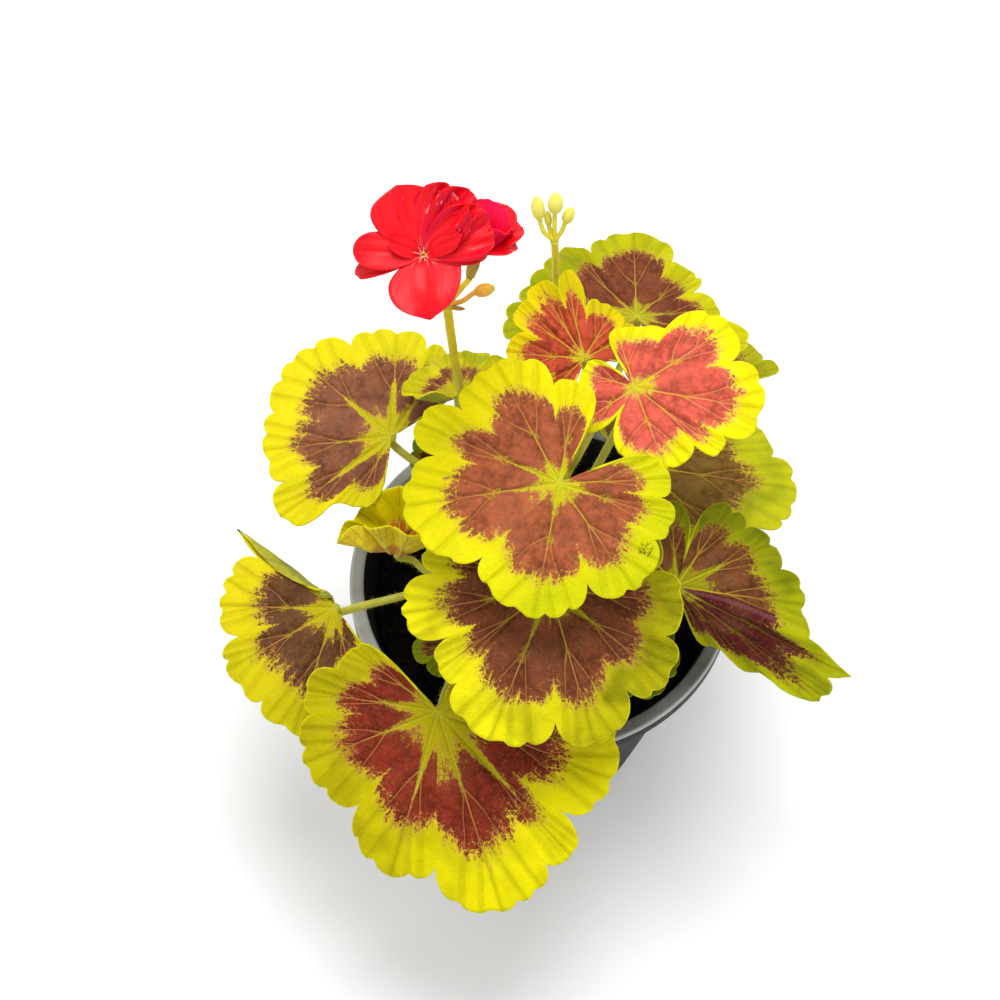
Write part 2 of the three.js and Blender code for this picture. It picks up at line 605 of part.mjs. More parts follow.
function makeCalyx(base, out) {
  const profile = [[0, 0], [0.9, 0.2], [CALYX_RADIUS * 0.8, CALYX_LENGTH * 0.45],
    [CALYX_RADIUS, CALYX_LENGTH], [0, CALYX_LENGTH]].map(([r, z]) => new THREE.Vector2(r, z));
  return stand(new THREE.LatheGeometry(profile, 10), out, base);
}

function makeBudCluster() {
  const route = [...stemJoint(BUD_STALK_JOINS), ...BUD_STALK.map(vector)];
  const head = route[route.length - 1];
  const parts = [rod(route, BUD_STALK_RADIUS, STALK_STEPS)];
  for (const bud of BUDS) parts.push(stalkedBud(head, bud));
  return mesh('bud_cluster', 0xd8d84a, 0.6, join(parts));
}

const plant = new THREE.Group();
plant.name = 'potted_pelargonium';
plant.add(makePot(), makeSoil(), makeStem());
for (const leaf of LEAVES) plant.add(makeLeaf(leaf));
plant.add(makeFlowerStalk());
for (const bloom of BLOOMS) plant.add(makeBloom(bloom));
plant.add(makeBudCluster());

export default plant;
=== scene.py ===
# A young zonal pelargonium in its nursery pot, put together from the table upwards: studio, pot, soil,
# stem, leaves, flower stalk, blooms and buds. Metres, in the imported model's frame, with the front at -Y.
import math
import random

import bmesh
import bpy
from mathutils import Euler, Matrix, Vector, noise


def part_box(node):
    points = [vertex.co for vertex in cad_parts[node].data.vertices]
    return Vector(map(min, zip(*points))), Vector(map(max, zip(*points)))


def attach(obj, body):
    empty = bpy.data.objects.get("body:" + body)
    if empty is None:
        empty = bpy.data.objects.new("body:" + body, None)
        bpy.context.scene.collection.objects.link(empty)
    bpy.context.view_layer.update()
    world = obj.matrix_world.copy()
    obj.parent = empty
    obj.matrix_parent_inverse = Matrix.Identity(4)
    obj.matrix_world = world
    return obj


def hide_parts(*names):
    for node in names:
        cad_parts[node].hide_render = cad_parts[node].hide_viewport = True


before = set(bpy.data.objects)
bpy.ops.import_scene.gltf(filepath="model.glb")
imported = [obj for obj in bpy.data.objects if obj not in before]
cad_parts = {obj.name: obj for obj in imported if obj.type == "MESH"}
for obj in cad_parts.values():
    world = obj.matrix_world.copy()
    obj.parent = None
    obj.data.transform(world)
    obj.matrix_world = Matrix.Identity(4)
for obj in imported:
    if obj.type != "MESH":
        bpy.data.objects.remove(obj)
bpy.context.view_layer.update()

# Camera: stands in front of the plant and looks down on it through a long lens, as the photograph was
# taken.
LOOK_DOWN_DEGREES = 58.14
camera = bpy.data.objects.new("camera", bpy.data.cameras.new("camera"))
camera.data.lens = 84.1
camera.location = (-0.01126, -0.31976, 0.63480)
camera.rotation_euler = (math.radians(90 - LOOK_DOWN_DEGREES), 0, 0)
bpy.context.collection.objects.link(camera)
bpy.context.scene.camera = camera
bpy.context.scene.view_settings.view_transform = "Standard"

# Studio: a wide white table top under an even white sky, with one large soft lamp over the plant.
sky = bpy.data.worlds.new("sky")
sky.use_nodes = True
sky.node_tree.nodes["Background"].inputs["Color"].default_value = (1, 1, 1, 1)
sky.node_tree.nodes["Background"].inputs["Strength"].default_value = 0.82
bpy.context.scene.world = sky

lamp = bpy.data.objects.new("soft_lamp", bpy.data.lights.new("soft_lamp", "AREA"))
lamp.data.shape = "DISK"
lamp.data.size = 0.6
lamp.data.energy = 10
lamp.location = (0.02, 0.12, 1.2)
lamp.rotation_euler = (Vector((0, 0, 0.1)) - lamp.location).to_track_quat("-Z", "Y").to_euler()
bpy.context.collection.objects.link(lamp)

table_top = bmesh.new()
bmesh.ops.create_grid(table_top, x_segments=1, y_segments=1, size=4)
bmesh.ops.translate(table_top, verts=table_top.verts, vec=(0, 0, -0.0002))
table_mesh = bpy.data.meshes.new("table_top")
table_top.to_mesh(table_mesh)
table_top.free()
table_paint = bpy.data.materials.new("white table")
table_paint.use_nodes = True
table_sockets = table_paint.node_tree.nodes["Principled BSDF"].inputs
table_sockets["Base Color"].default_value = (0.78, 0.78, 0.78, 1)
table_sockets["Roughness"].default_value = 0.9
table_sockets["Emission Color"].default_value = (1, 1, 1, 1)
table_sockets["Emission Strength"].default_value = 0.16
table_mesh.materials.append(table_paint)
table = bpy.data.objects.new("table_top", table_mesh)
bpy.context.collection.objects.link(table)


# Pot: thin black polypropylene, moulded in one piece with a flat turned-over lip, a stacking step under
# it and drainage holes in its base. It carries a thin film of dust, some soil crumbs and scuffs. Painted on
# it are a highlight along the lip's outer edge, pale reflections on the wall, shade on one side of the lip
# and a near-black inside wall.
class Signal:
    """A socket's output that takes part in sums: each operator adds one Math node."""

    def __init__(self, finish, socket):
        self.finish = finish
        self.socket = socket

    def maths(self, operation, *values):
        return self.finish.node("ShaderNodeMath", {"operation": operation}, dict(enumerate(values)))

    def __add__(self, other):
        return self.maths("ADD", self, other)

    def __sub__(self, other):
        return self.maths("SUBTRACT", self, other)

    def __rsub__(self, other):
        return self.maths("SUBTRACT", other, self)

    def __mul__(self, other):
        return self.maths("MULTIPLY", self, other)

    def __truediv__(self, other):
        return self.maths("DIVIDE", self, other)

    def __pow__(self, other):
        return self.maths("POWER", self, other)

    def __abs__(self):
        return self.maths("ABSOLUTE", self)

    __radd__ = __add__
    __rmul__ = __mul__

    def larger(self, other):
        return self.maths("MAXIMUM", self, other)

    def smaller(self, other):
        return self.maths("MINIMUM", self, other)

    def rise(self, start, end):
        """0 up to `start`, 1 from `end` on, and smooth between them."""
        return self.finish.node(
            "ShaderNodeMapRange", {"interpolation_type": "SMOOTHSTEP"},
            {"Value": self, "From Min": start, "From Max": end},
        )

    def part(self, name):
        """One of X, Y and Z of a vector."""
        return self.finish.node("ShaderNodeSeparateXYZ", {}, {"Vector": self}, name)


class Finish:
    """A procedural material. `node` adds any node, sets it up, feeds its sockets and returns one output."""

    def __init__(self, name, **sockets):
        self.material = bpy.data.materials.new(name)
        self.material.use_nodes = True
        self.tree = self.material.node_tree
        self.surface = self.tree.nodes["Principled BSDF"]
        for socket, value in sockets.items():
            self.feed(socket.replace("_", " ").title().replace("Ior", "IOR"), value)

    def node(self, kind, settings, sockets, output=0):
        made = self.tree.nodes.new(kind)
        for name, value in settings.items():
            setattr(made, name, value)
        for name, value in sockets.items():
            self.feed(name, value, made)
        return Signal(self, made.outputs[output])

    def feed(self, name, value, node=None):
        socket = (node or self.surface).inputs[name]
        if isinstance(value, Signal):
            self.tree.links.new(value.socket, socket)
        else:
            socket.default_value = value

    def place(self):
        return self.node("ShaderNodeTexCoord", {}, {}, "Object")

    def chart(self, name):
        return self.node("ShaderNodeUVMap", {"uv_map": name}, {})

    def noise(self, vector, scale, detail=3, roughness=0.5, distortion=0):
        return self.node("ShaderNodeTexNoise", {}, {
            "Vector": vector, "Scale": scale, "Detail": detail, "Roughness": roughness,
            "Distortion": distortion,
        })

    def vector_maths(self, operation, *values, output=0):
        return self.node("ShaderNodeVectorMath", {"operation": operation}, dict(enumerate(values)), output)

    def cells(self, vector, scale, feature="F1"):
        return self.node(
            "ShaderNodeTexVoronoi", {"feature": feature}, {"Vector": vector, "Scale": scale}, "Distance",
        )

    def swayed(self, vector, scale, distance):
        """A vector that wanders, so that what is drawn on it isn't straight."""
        wander = self.node("ShaderNodeTexNoise", {}, {"Vector": vector, "Scale": scale}, 1)
        centred = self.vector_maths("SUBTRACT", wander, (0.5, 0.5, 0.5))
        return self.vector_maths("MULTIPLY_ADD", centred, (distance,) * 3, vector)

    def stretch(self, vector, x, y, z):
        return self.vector_maths("MULTIPLY", vector, (x, y, z))

    def mix(self, share, first, second):
        return self.node("ShaderNodeMix", {"data_type": "RGBA"}, {0: share, 6: first, 7: second}, 2)

    def bump(self, height, depth):
        """`depth` is the height in metres of a rise from 0 to 1."""
        sockets = {"Height": height, "Distance": depth, "Strength": 1}
        self.feed("Normal", self.node("ShaderNodeBump", {}, sockets))


# How much brighter than its own colour a thing shows in this studio
LIGHT_GAIN = 1.3


def rgb(red, green, blue):
    """A colour as it shows on screen, 0 to 255, as the linear values that a shader takes."""
    linear = [c / 255 / 12.92 if c < 11 else ((c / 255 + 0.055) / 1.055) ** 2.4 for c in (red, green, blue)]
    return (*[c / LIGHT_GAIN for c in linear], 1)


def make_piece(bm, name, node, slot, *finishes):
    """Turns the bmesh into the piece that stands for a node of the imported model."""
    mesh = bpy.data.meshes.new(name)
    bm.to_mesh(mesh)
    bm.free()
    for finish in finishes:
        mesh.materials.append(finish.material)
    mesh.shade_smooth()
    piece = bpy.data.objects.new(name, mesh)
    bpy.context.collection.objects.link(piece)
    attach(piece, "root")
    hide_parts(node)
    return piece


def turned(bm, profile, steps):
    """Turns a profile of (radius, height) round the upright axis."""
    corners = [bm.verts.new((radius, 0, height)) for radius, height in profile]
    sides = [bm.edges.new(pair) for pair in zip(corners, corners[1:])]
    bmesh.ops.spin(
        bm, geom=corners + sides, axis=(0, 0, 1), cent=(0, 0, 0), angle=math.tau, steps=steps,
        use_merge=True,
    )
    bmesh.ops.remove_doubles(bm, verts=bm.verts, dist=1e-7)
    bmesh.ops.recalc_face_normals(bm, faces=bm.faces)


def settle(piece):
    """Applies the piece's modifiers to its mesh."""
    solved = piece.evaluated_get(bpy.context.evaluated_depsgraph_get())
    piece.data = bpy.data.meshes.new_from_object(solved)
    piece.modifiers.clear()


LIP_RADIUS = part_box("pot")[1].x
POT_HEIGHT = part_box("pot")[1].z
LIP_INNER_RADIUS = 0.0487
LIP_SKIRT = 0.005
BASE_RADIUS = 0.0315
POT_WALL = 0.0012
POT_FLOOR = 0.002
WALL_TOP = POT_HEIGHT - 1.5 * POT_WALL
RECESS = 0.0008
RECESS_RADIUS = 0.024
STEP_RADIUS = 0.0432
STEP_HEIGHT = 0.054
STEP_WIDTH = 0.001
ROUNDED = 0.0006
LIP_ROUNDED = 0.0008
LIP_DRAFT = 0.0001
EDGE_BEVEL = 0.00025
HOLES = 6
HOLE_RADIUS = 0.0035
HOLE_RING = 0.020

pot_bm = bmesh.new()
turned(pot_bm, [
    (0, RECESS), (RECESS_RADIUS, RECESS), (RECESS_RADIUS + STEP_WIDTH, 0),
    (BASE_RADIUS - ROUNDED, 0), (BASE_RADIUS, ROUNDED),
    (STEP_RADIUS, STEP_HEIGHT), (STEP_RADIUS + STEP_WIDTH, STEP_HEIGHT + ROUNDED),
    (LIP_INNER_RADIUS + POT_WALL, WALL_TOP), (LIP_RADIUS - POT_WALL, WALL_TOP),
    (LIP_RADIUS - POT_WALL, POT_HEIGHT - LIP_SKIRT), (LIP_RADIUS - LIP_DRAFT, POT_HEIGHT - LIP_SKIRT),
    (LIP_RADIUS, POT_HEIGHT - LIP_ROUNDED), (LIP_RADIUS - LIP_ROUNDED, POT_HEIGHT),
    (LIP_INNER_RADIUS + ROUNDED, POT_HEIGHT), (LIP_INNER_RADIUS, POT_HEIGHT - ROUNDED),
    (BASE_RADIUS - POT_WALL, POT_FLOOR), (0, POT_FLOOR),
], 144)

dusty_black = Finish("dusty black plastic", specular_ior_level=0.12)
spot = dusty_black.place()
height = spot.part("Z")
from_axis = (spot.part("X") ** 2 + spot.part("Y") ** 2) ** 0.5
film = dusty_black.noise(spot, 45, 4, 0.6)
scuffs = dusty_black.noise(dusty_black.stretch(spot, 1, 1, 6), 240, 4, 0.65)
smears_and_reflections = dusty_black.noise(dusty_black.stretch(spot, 1, 1, 0.16), 420, 4, 0.7, 0.8)
crumbs = 1 - dusty_black.cells(spot, 260).rise(0.10, 0.17)
crumb_place = dusty_black.noise(spot, 90, 2).rise(0.55, 0.62)
on_lip = from_axis.rise(LIP_INNER_RADIUS - 0.0002, LIP_INNER_RADIUS)
on_lip = on_lip * height.rise(POT_HEIGHT - 0.0011, POT_HEIGHT - 0.0005)
worn_edge_highlight = from_axis.rise(LIP_RADIUS - 0.0006, LIP_RADIUS - 0.0003)
worn_edge_highlight = worn_edge_highlight * height.rise(POT_HEIGHT - 0.0018, POT_HEIGHT - 0.0011)
inside = 1 - from_axis.rise(LIP_INNER_RADIUS - 0.0008, LIP_INNER_RADIUS - 0.0002)
inner_darkening = inside * height.rise(POT_FLOOR, 0.02) * (1 - (from_axis - height * 0.215).rise(0.0312, 0.0316))
grey = dusty_black.mix(film.rise(0.3, 0.75), rgb(28, 26, 26), rgb(46, 43, 43))
# Pale streaks on the wall: partly dust smears, partly painted reflection.
grey = dusty_black.mix(smears_and_reflections.rise(0.5, 0.7) * film.rise(0.4, 0.62) * 0.5, grey, rgb(132, 128, 130))
# The lip top is painted lighter grey for its dust, lighter still towards -X and darker towards +X as painted
# light and shade.
dust_and_side_shade = (film - spot.part("X") * 4).rise(0.15, 0.85)
grey = dusty_black.mix(on_lip, grey, dusty_black.mix(dust_and_side_shade, rgb(116, 114, 110), rgb(210, 212, 212)))
# A painted highlight, with some wear, along the lip's outer rounded edge.
grey = dusty_black.mix(worn_edge_highlight * (scuffs * 0.5 + 0.6), grey, rgb(212, 214, 210))
grey = dusty_black.mix(crumbs * crumb_place * 0.9, grey, rgb(22, 19, 17))
# The inside wall is painted near black.
grey = dusty_black.mix(inner_darkening, grey, rgb(13, 12, 12))
dusty_black.feed("Base Color", grey)
dusty_black.feed("Roughness", 0.40 + film * 0.16 + scuffs * 0.12)
dusty_black.bump(scuffs * 0.5 + crumbs * crumb_place, 0.00012)

pot = make_piece(pot_bm, "nursery_pot", "pot", "pot_plastic", dusty_black)
drill_bm = bmesh.new()
for hole in range(HOLES):
    where = Matrix.Rotation(math.tau * hole / HOLES, 4, "Z") @ Matrix.Translation((HOLE_RING, 0, 0))
    bmesh.ops.create_cone(
        drill_bm, cap_ends=True, segments=24, radius1=HOLE_RADIUS, radius2=HOLE_RADIUS,
        depth=6 * POT_FLOOR, matrix=where,
    )
drill = bpy.data.objects.new("drill", bpy.data.meshes.new("drill"))
drill_bm.to_mesh(drill.data)
drill_bm.free()
bpy.context.collection.objects.link(drill)
cut = pot.modifiers.new("drainage", "BOOLEAN")
cut.object = drill
cut.solver = "EXACT"
round_edges = pot.modifiers.new("soft edges", "BEVEL")
round_edges.width = EDGE_BEVEL
round_edges.segments = 3
settle(pot)
bpy.data.objects.remove(drill)

# Soil: damp black peat compost that fills the pot to a finger's width below the lip. Its top is loose and
# uneven, with crumbs lying on it.
SOIL_TOP = 0.070
SOIL_RELIEF = 0.0011
WALL_GAP = 0.0005
FLOOR_GAP = 0.0003
CRUMBS = 900
chance = random.Random(11)


def soil_height(x, y):
    """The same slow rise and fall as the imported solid, in metres, with clods and grains on it."""
    slow = math.sin(210 * x + 1) * math.cos(170 * y) + 0.6 * math.sin(430 * x - 370 * y)
    clods = noise.turbulence(Vector((x, y, 0.2)) * 260, 4, True)
    return SOIL_TOP + SOIL_RELIEF * slow + 0.0016 * (clods - 0.75)


def scatter(bm, count, add_one, batch=40):
    """Adds many small things to a large bmesh: `add_one` makes each in a small bmesh of its own batch."""
    for first in range(0, count, batch):
        small = bmesh.new()
        for number in range(first, min(count, first + batch)):
            add_one(small, number)
        held = bpy.data.meshes.new("batch")
        small.to_mesh(held)
        small.free()
        bm.from_mesh(held)
        bpy.data.meshes.remove(held)


soil_bm = bmesh.new()
soil_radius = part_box("soil")[1].x
soil_edge = SOIL_TOP - 2 * SOIL_RELIEF
foot_radius = BASE_RADIUS - POT_WALL - WALL_GAP
foot_height = POT_FLOOR + FLOOR_GAP
rings = [(0, foot_height), (foot_radius, foot_height), (soil_radius, soil_edge)]
rings += [(soil_radius * (1 - step / 90) - 0.0004, SOIL_TOP) for step in range(90)]
turned(soil_bm, rings + [(0, SOIL_TOP)], 220)
for corner in soil_bm.verts:
    if corner.co.z > SOIL_TOP - 1e-6:
        corner.co.z = soil_height(corner.co.x, corner.co.y)


def add_crumb(bm, _):
    """One crumb of peat that lies on the soil."""
    reach = soil_radius * math.sqrt(chance.random()) * 0.97
    around = chance.random() * math.tau
    x, y = reach * math.cos(around), reach * math.sin(around)
    size = 0.0005 + 0.0013 * chance.random() ** 2.5
    made = bmesh.ops.create_icosphere(bm, subdivisions=1, radius=size)["verts"]
    for corner in made:
        corner.co *= 0.75 + 0.5 * chance.random()
    turn = Euler([chance.random() * math.tau for _ in range(3)]).to_matrix()
    bmesh.ops.rotate(bm, verts=made, matrix=turn)
    bmesh.ops.scale(bm, verts=made, vec=(1, 1, 0.7))
    bmesh.ops.translate(bm, verts=made, vec=(x, y, soil_height(x, y) + 0.2 * size))


scatter(soil_bm, CRUMBS, add_crumb)

peat = Finish("damp peat", roughness=1.0, specular_ior_level=0.08)
grain = peat.noise(peat.place(), 900, 4, 0.7)
patch = peat.noise(peat.place(), 160, 3, 0.6)
peat.feed("Base Color", peat.mix(
    (grain * 0.6 + patch * 0.5).rise(0.42, 0.85), (0.0010, 0.0008, 0.0007, 1), (0.014, 0.010, 0.007, 1),
))
peat.bump(grain, 0.0004)
make_piece(soil_bm, "peat_soil", "soil", "soil", peat)


# Main stem: one short fleshy stem, woody and brown at the soil and green above, swollen where leaves
# join it.
def smooth_path(points, per_span):
    """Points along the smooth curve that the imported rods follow, which passes through the given points."""
    ends = [2 * points[0] - points[1], *points, 2 * points[-1] - points[-2]]
    path = []
    for a, b, c, d in zip(ends, ends[1:], ends[2:], ends[3:]):
        first, middle, last = [math.sqrt((q - p).length) for p, q in ((a, b), (b, c), (c, d))]
        leave = ((b - a) / first - (c - a) / (first + middle) + (c - b) / middle) * middle
        arrive = ((c - b) / middle - (d - b) / (middle + last) + (d - c) / last) * middle
        for step in range(per_span):
            t = step / per_span
            square = (3 * (c - b) - 2 * leave - arrive) * t ** 2
            cube = (2 * (b - c) + leave + arrive) * t ** 3
            path.append(b + leave * t + square + cube)
    return path + [points[-1]]


def frames_along(path):
    """An upright frame at each point of a path, turned as little as possible from one to the next."""
    ways = [(path[min(i + 1, len(path) - 1)] - path[max(i - 1, 0)]).normalized() for i in range(len(path))]
    turn = ways[0].to_track_quat("Z", "Y")
    frames = []
    for place, way in zip(path, ways):
        turn = (turn @ Vector((0, 0, 1))).rotation_difference(way) @ turn
        frames.append(Matrix.Translation(place) @ turn.to_matrix().to_4x4())
    return frames


def add_rod(bm, path, radii, sides, slot=0):
    """A closed round rod: one ring pushed along the path and scaled to the radius at each point."""
    before = set(bm.faces)
    frames = frames_along(path)
    ring = bmesh.ops.create_circle(
        bm, cap_ends=True, segments=sides, radius=radii[0], matrix=frames[0],
    )["verts"]
    cap = next(face for face in ring[0].link_faces)
    cap.normal_flip()
    edges = list(cap.edges)
    for last, here, old, new in zip(frames, frames[1:], radii, radii[1:]):
        pushed = bmesh.ops.extrude_edge_only(bm, edges=edges)["geom"]
        edges = [part for part in pushed if isinstance(part, bmesh.types.BMEdge)]
        corners = [part for part in pushed if isinstance(part, bmesh.types.BMVert)]
        grow = Matrix.Diagonal((new / old, new / old, 1, 1))
        bmesh.ops.transform(bm, matrix=here @ grow @ last.inverted(), verts=corners)
    bmesh.ops.contextual_create(bm, geom=edges)
    made = [face for face in bm.faces if face not in before]
    bmesh.ops.recalc_face_normals(bm, faces=made)
    for face in made:
        face.material_index = slot
    return frames


def add_hairs(bm, frames, radii, count, length, slot=0):
    """Fine upright hairs all round a rod, each a slim three-sided spike."""

    def add_hair(small, _):
        where = chance.randrange(1, len(frames) - 1)
        slide = (chance.random() - 0.5) * (frames[where + 1].translation - frames[where].translation).length
        out = Matrix.Rotation(chance.random() * math.tau, 4, "Z") @ Matrix.Translation((0, 0, slide))
        lean = Matrix.Rotation(math.radians(90 + chance.uniform(-25, 25)), 4, "Y")
        tall = length * chance.uniform(0.5, 1.1)
        root = Matrix.Translation((0, 0, tall / 2 + radii[where] * 0.93))
        bmesh.ops.create_cone(
            small, cap_ends=False, segments=3, radius1=HAIR_RADIUS, radius2=HAIR_TIP_RADIUS, depth=tall,
            matrix=frames[where] @ out @ lean @ root,
        )
        for face in small.faces:
            face.material_index = slot

    scatter(bm, count, add_hair, 12)


STEM_FOOT = Vector((0.004, 0.007, 0.052))
STEM_TIP = Vector((0.002, 0.004, 0.124))
STEM_FOOT_RADIUS = 0.0046
STEM_TIP_RADIUS = 0.0034
HAIR_RADIUS = 0.000035
HAIR_TIP_RADIUS = 0.000008
SWELLING = 0.00035
SWELLING_GAP = 0.0062
SWELLING_HEIGHT = 0.0855
STEM_STEPS = 90
BARE_STEPS = 40


def stem_radius(height):
    share = (height - SOIL_TOP) / (STEM_TIP.z - SOIL_TOP)
    return STEM_FOOT_RADIUS + (STEM_TIP_RADIUS - STEM_FOOT_RADIUS) * max(0, share)


def heading(degrees):
    """A level direction, counted from +X towards +Y."""
    return Vector((math.cos(math.radians(degrees)), math.sin(math.radians(degrees)), 0))


def stem_joint(compass, height):
    """The point inside the stem where a petiole or stalk grows out, and the straight way out from it."""
    centre = STEM_FOOT.lerp(STEM_TIP, (height - STEM_FOOT.z) / (STEM_TIP.z - STEM_FOOT.z))
    out = heading(compass)
    reach = stem_radius(height) + 0.0005
    return [centre + out * (reach - 0.0014), centre + out * (reach + 0.004) + Vector((0, 0, 0.001))]


stem_bm = bmesh.new()
stem_path = [STEM_FOOT.lerp(STEM_TIP, step / STEM_STEPS) for step in range(STEM_STEPS + 1)]
stem_way = (STEM_TIP - STEM_FOOT).normalized()
stem_path += [STEM_TIP + stem_way * rise for rise in (0.001, 0.002, 0.0027, 0.003)]
stem_radii = []
for place in stem_path[:STEM_STEPS + 1]:
    swelling = SWELLING * math.cos((place.z - SWELLING_HEIGHT) / SWELLING_GAP * math.tau)
    lump = 0.0005 * noise.noise(place * 300)
    stem_radii.append(stem_radius(place.z) - 0.0003 + swelling + lump)
stem_radii += [0.0030, 0.0023, 0.0013, 0.0002]
stem_frames = add_rod(stem_bm, stem_path, stem_radii, 28)
add_hairs(stem_bm, stem_frames[BARE_STEPS:STEM_STEPS], stem_radii[BARE_STEPS:STEM_STEPS], 500, 0.0011)

fleshy = Finish("fleshy stem", roughness=0.55)
height = fleshy.place().part("Z")
bark = fleshy.noise(fleshy.stretch(fleshy.place(), 1, 1, 0.35), 420, 4, 0.6)
skin = fleshy.mix((height + (bark - 0.5) * 0.02).rise(0.070, 0.098), rgb(104, 78, 48), rgb(150, 158, 66))
fleshy.feed("Base Color", fleshy.mix(bark.rise(0.55, 0.75) * 0.5, skin, rgb(92, 76, 40)))
fleshy.bump(bark, 0.0003)
make_piece(stem_bm, "fleshy_main_stem", "main_stem", "stem", fleshy)


# Leaves: each one is a single blade on a hairy petiole. The blade is lobed and scalloped, pleated between
# its main veins, yellow at the rim with a chestnut zone, and paler with raised veins underneath.
PLEAT = 0.0011
WAVE = 0.0011
PUCKER = 0.0003
VEIN_GROOVE = 0.00042
SIDE_VEIN_GROOVE = 0.00026
CREASE_LENGTH = 0.048
ROWS = 48
SMALL_ROWS = 26
COLUMN_WIDTH = 0.002
LOBE_ROUNDNESS = 2
SINUS_ROUNDNESS = 2.6
BLADE = 0.00055
PETIOLE_DROP = 0.005
PETIOLE_RADIUS = 0.00115
SMALL_PETIOLE_RADIUS = 0.001
SCALLOP_WIDTH = 0.0076
SCALLOP_DEPTH = 0.0016
# Where each side vein leaves the main vein, as a share of the lobe's length, and how far out to the side
# it ends
SIDE_VEINS = ((0.38, 0.66), (0.62, 0.34))
VEIN_END = 0.97


def even_lobes(count, length):
    """The lobes of an evenly round little leaf."""
    step = 300 / count
    lobes = [(-150 + step * (i + 0.5), length, -150 + step * (i + 1), length * 0.86) for i in range(count)]
    return lobes[:-1] + [(*lobes[-1][:3], 0.005)]


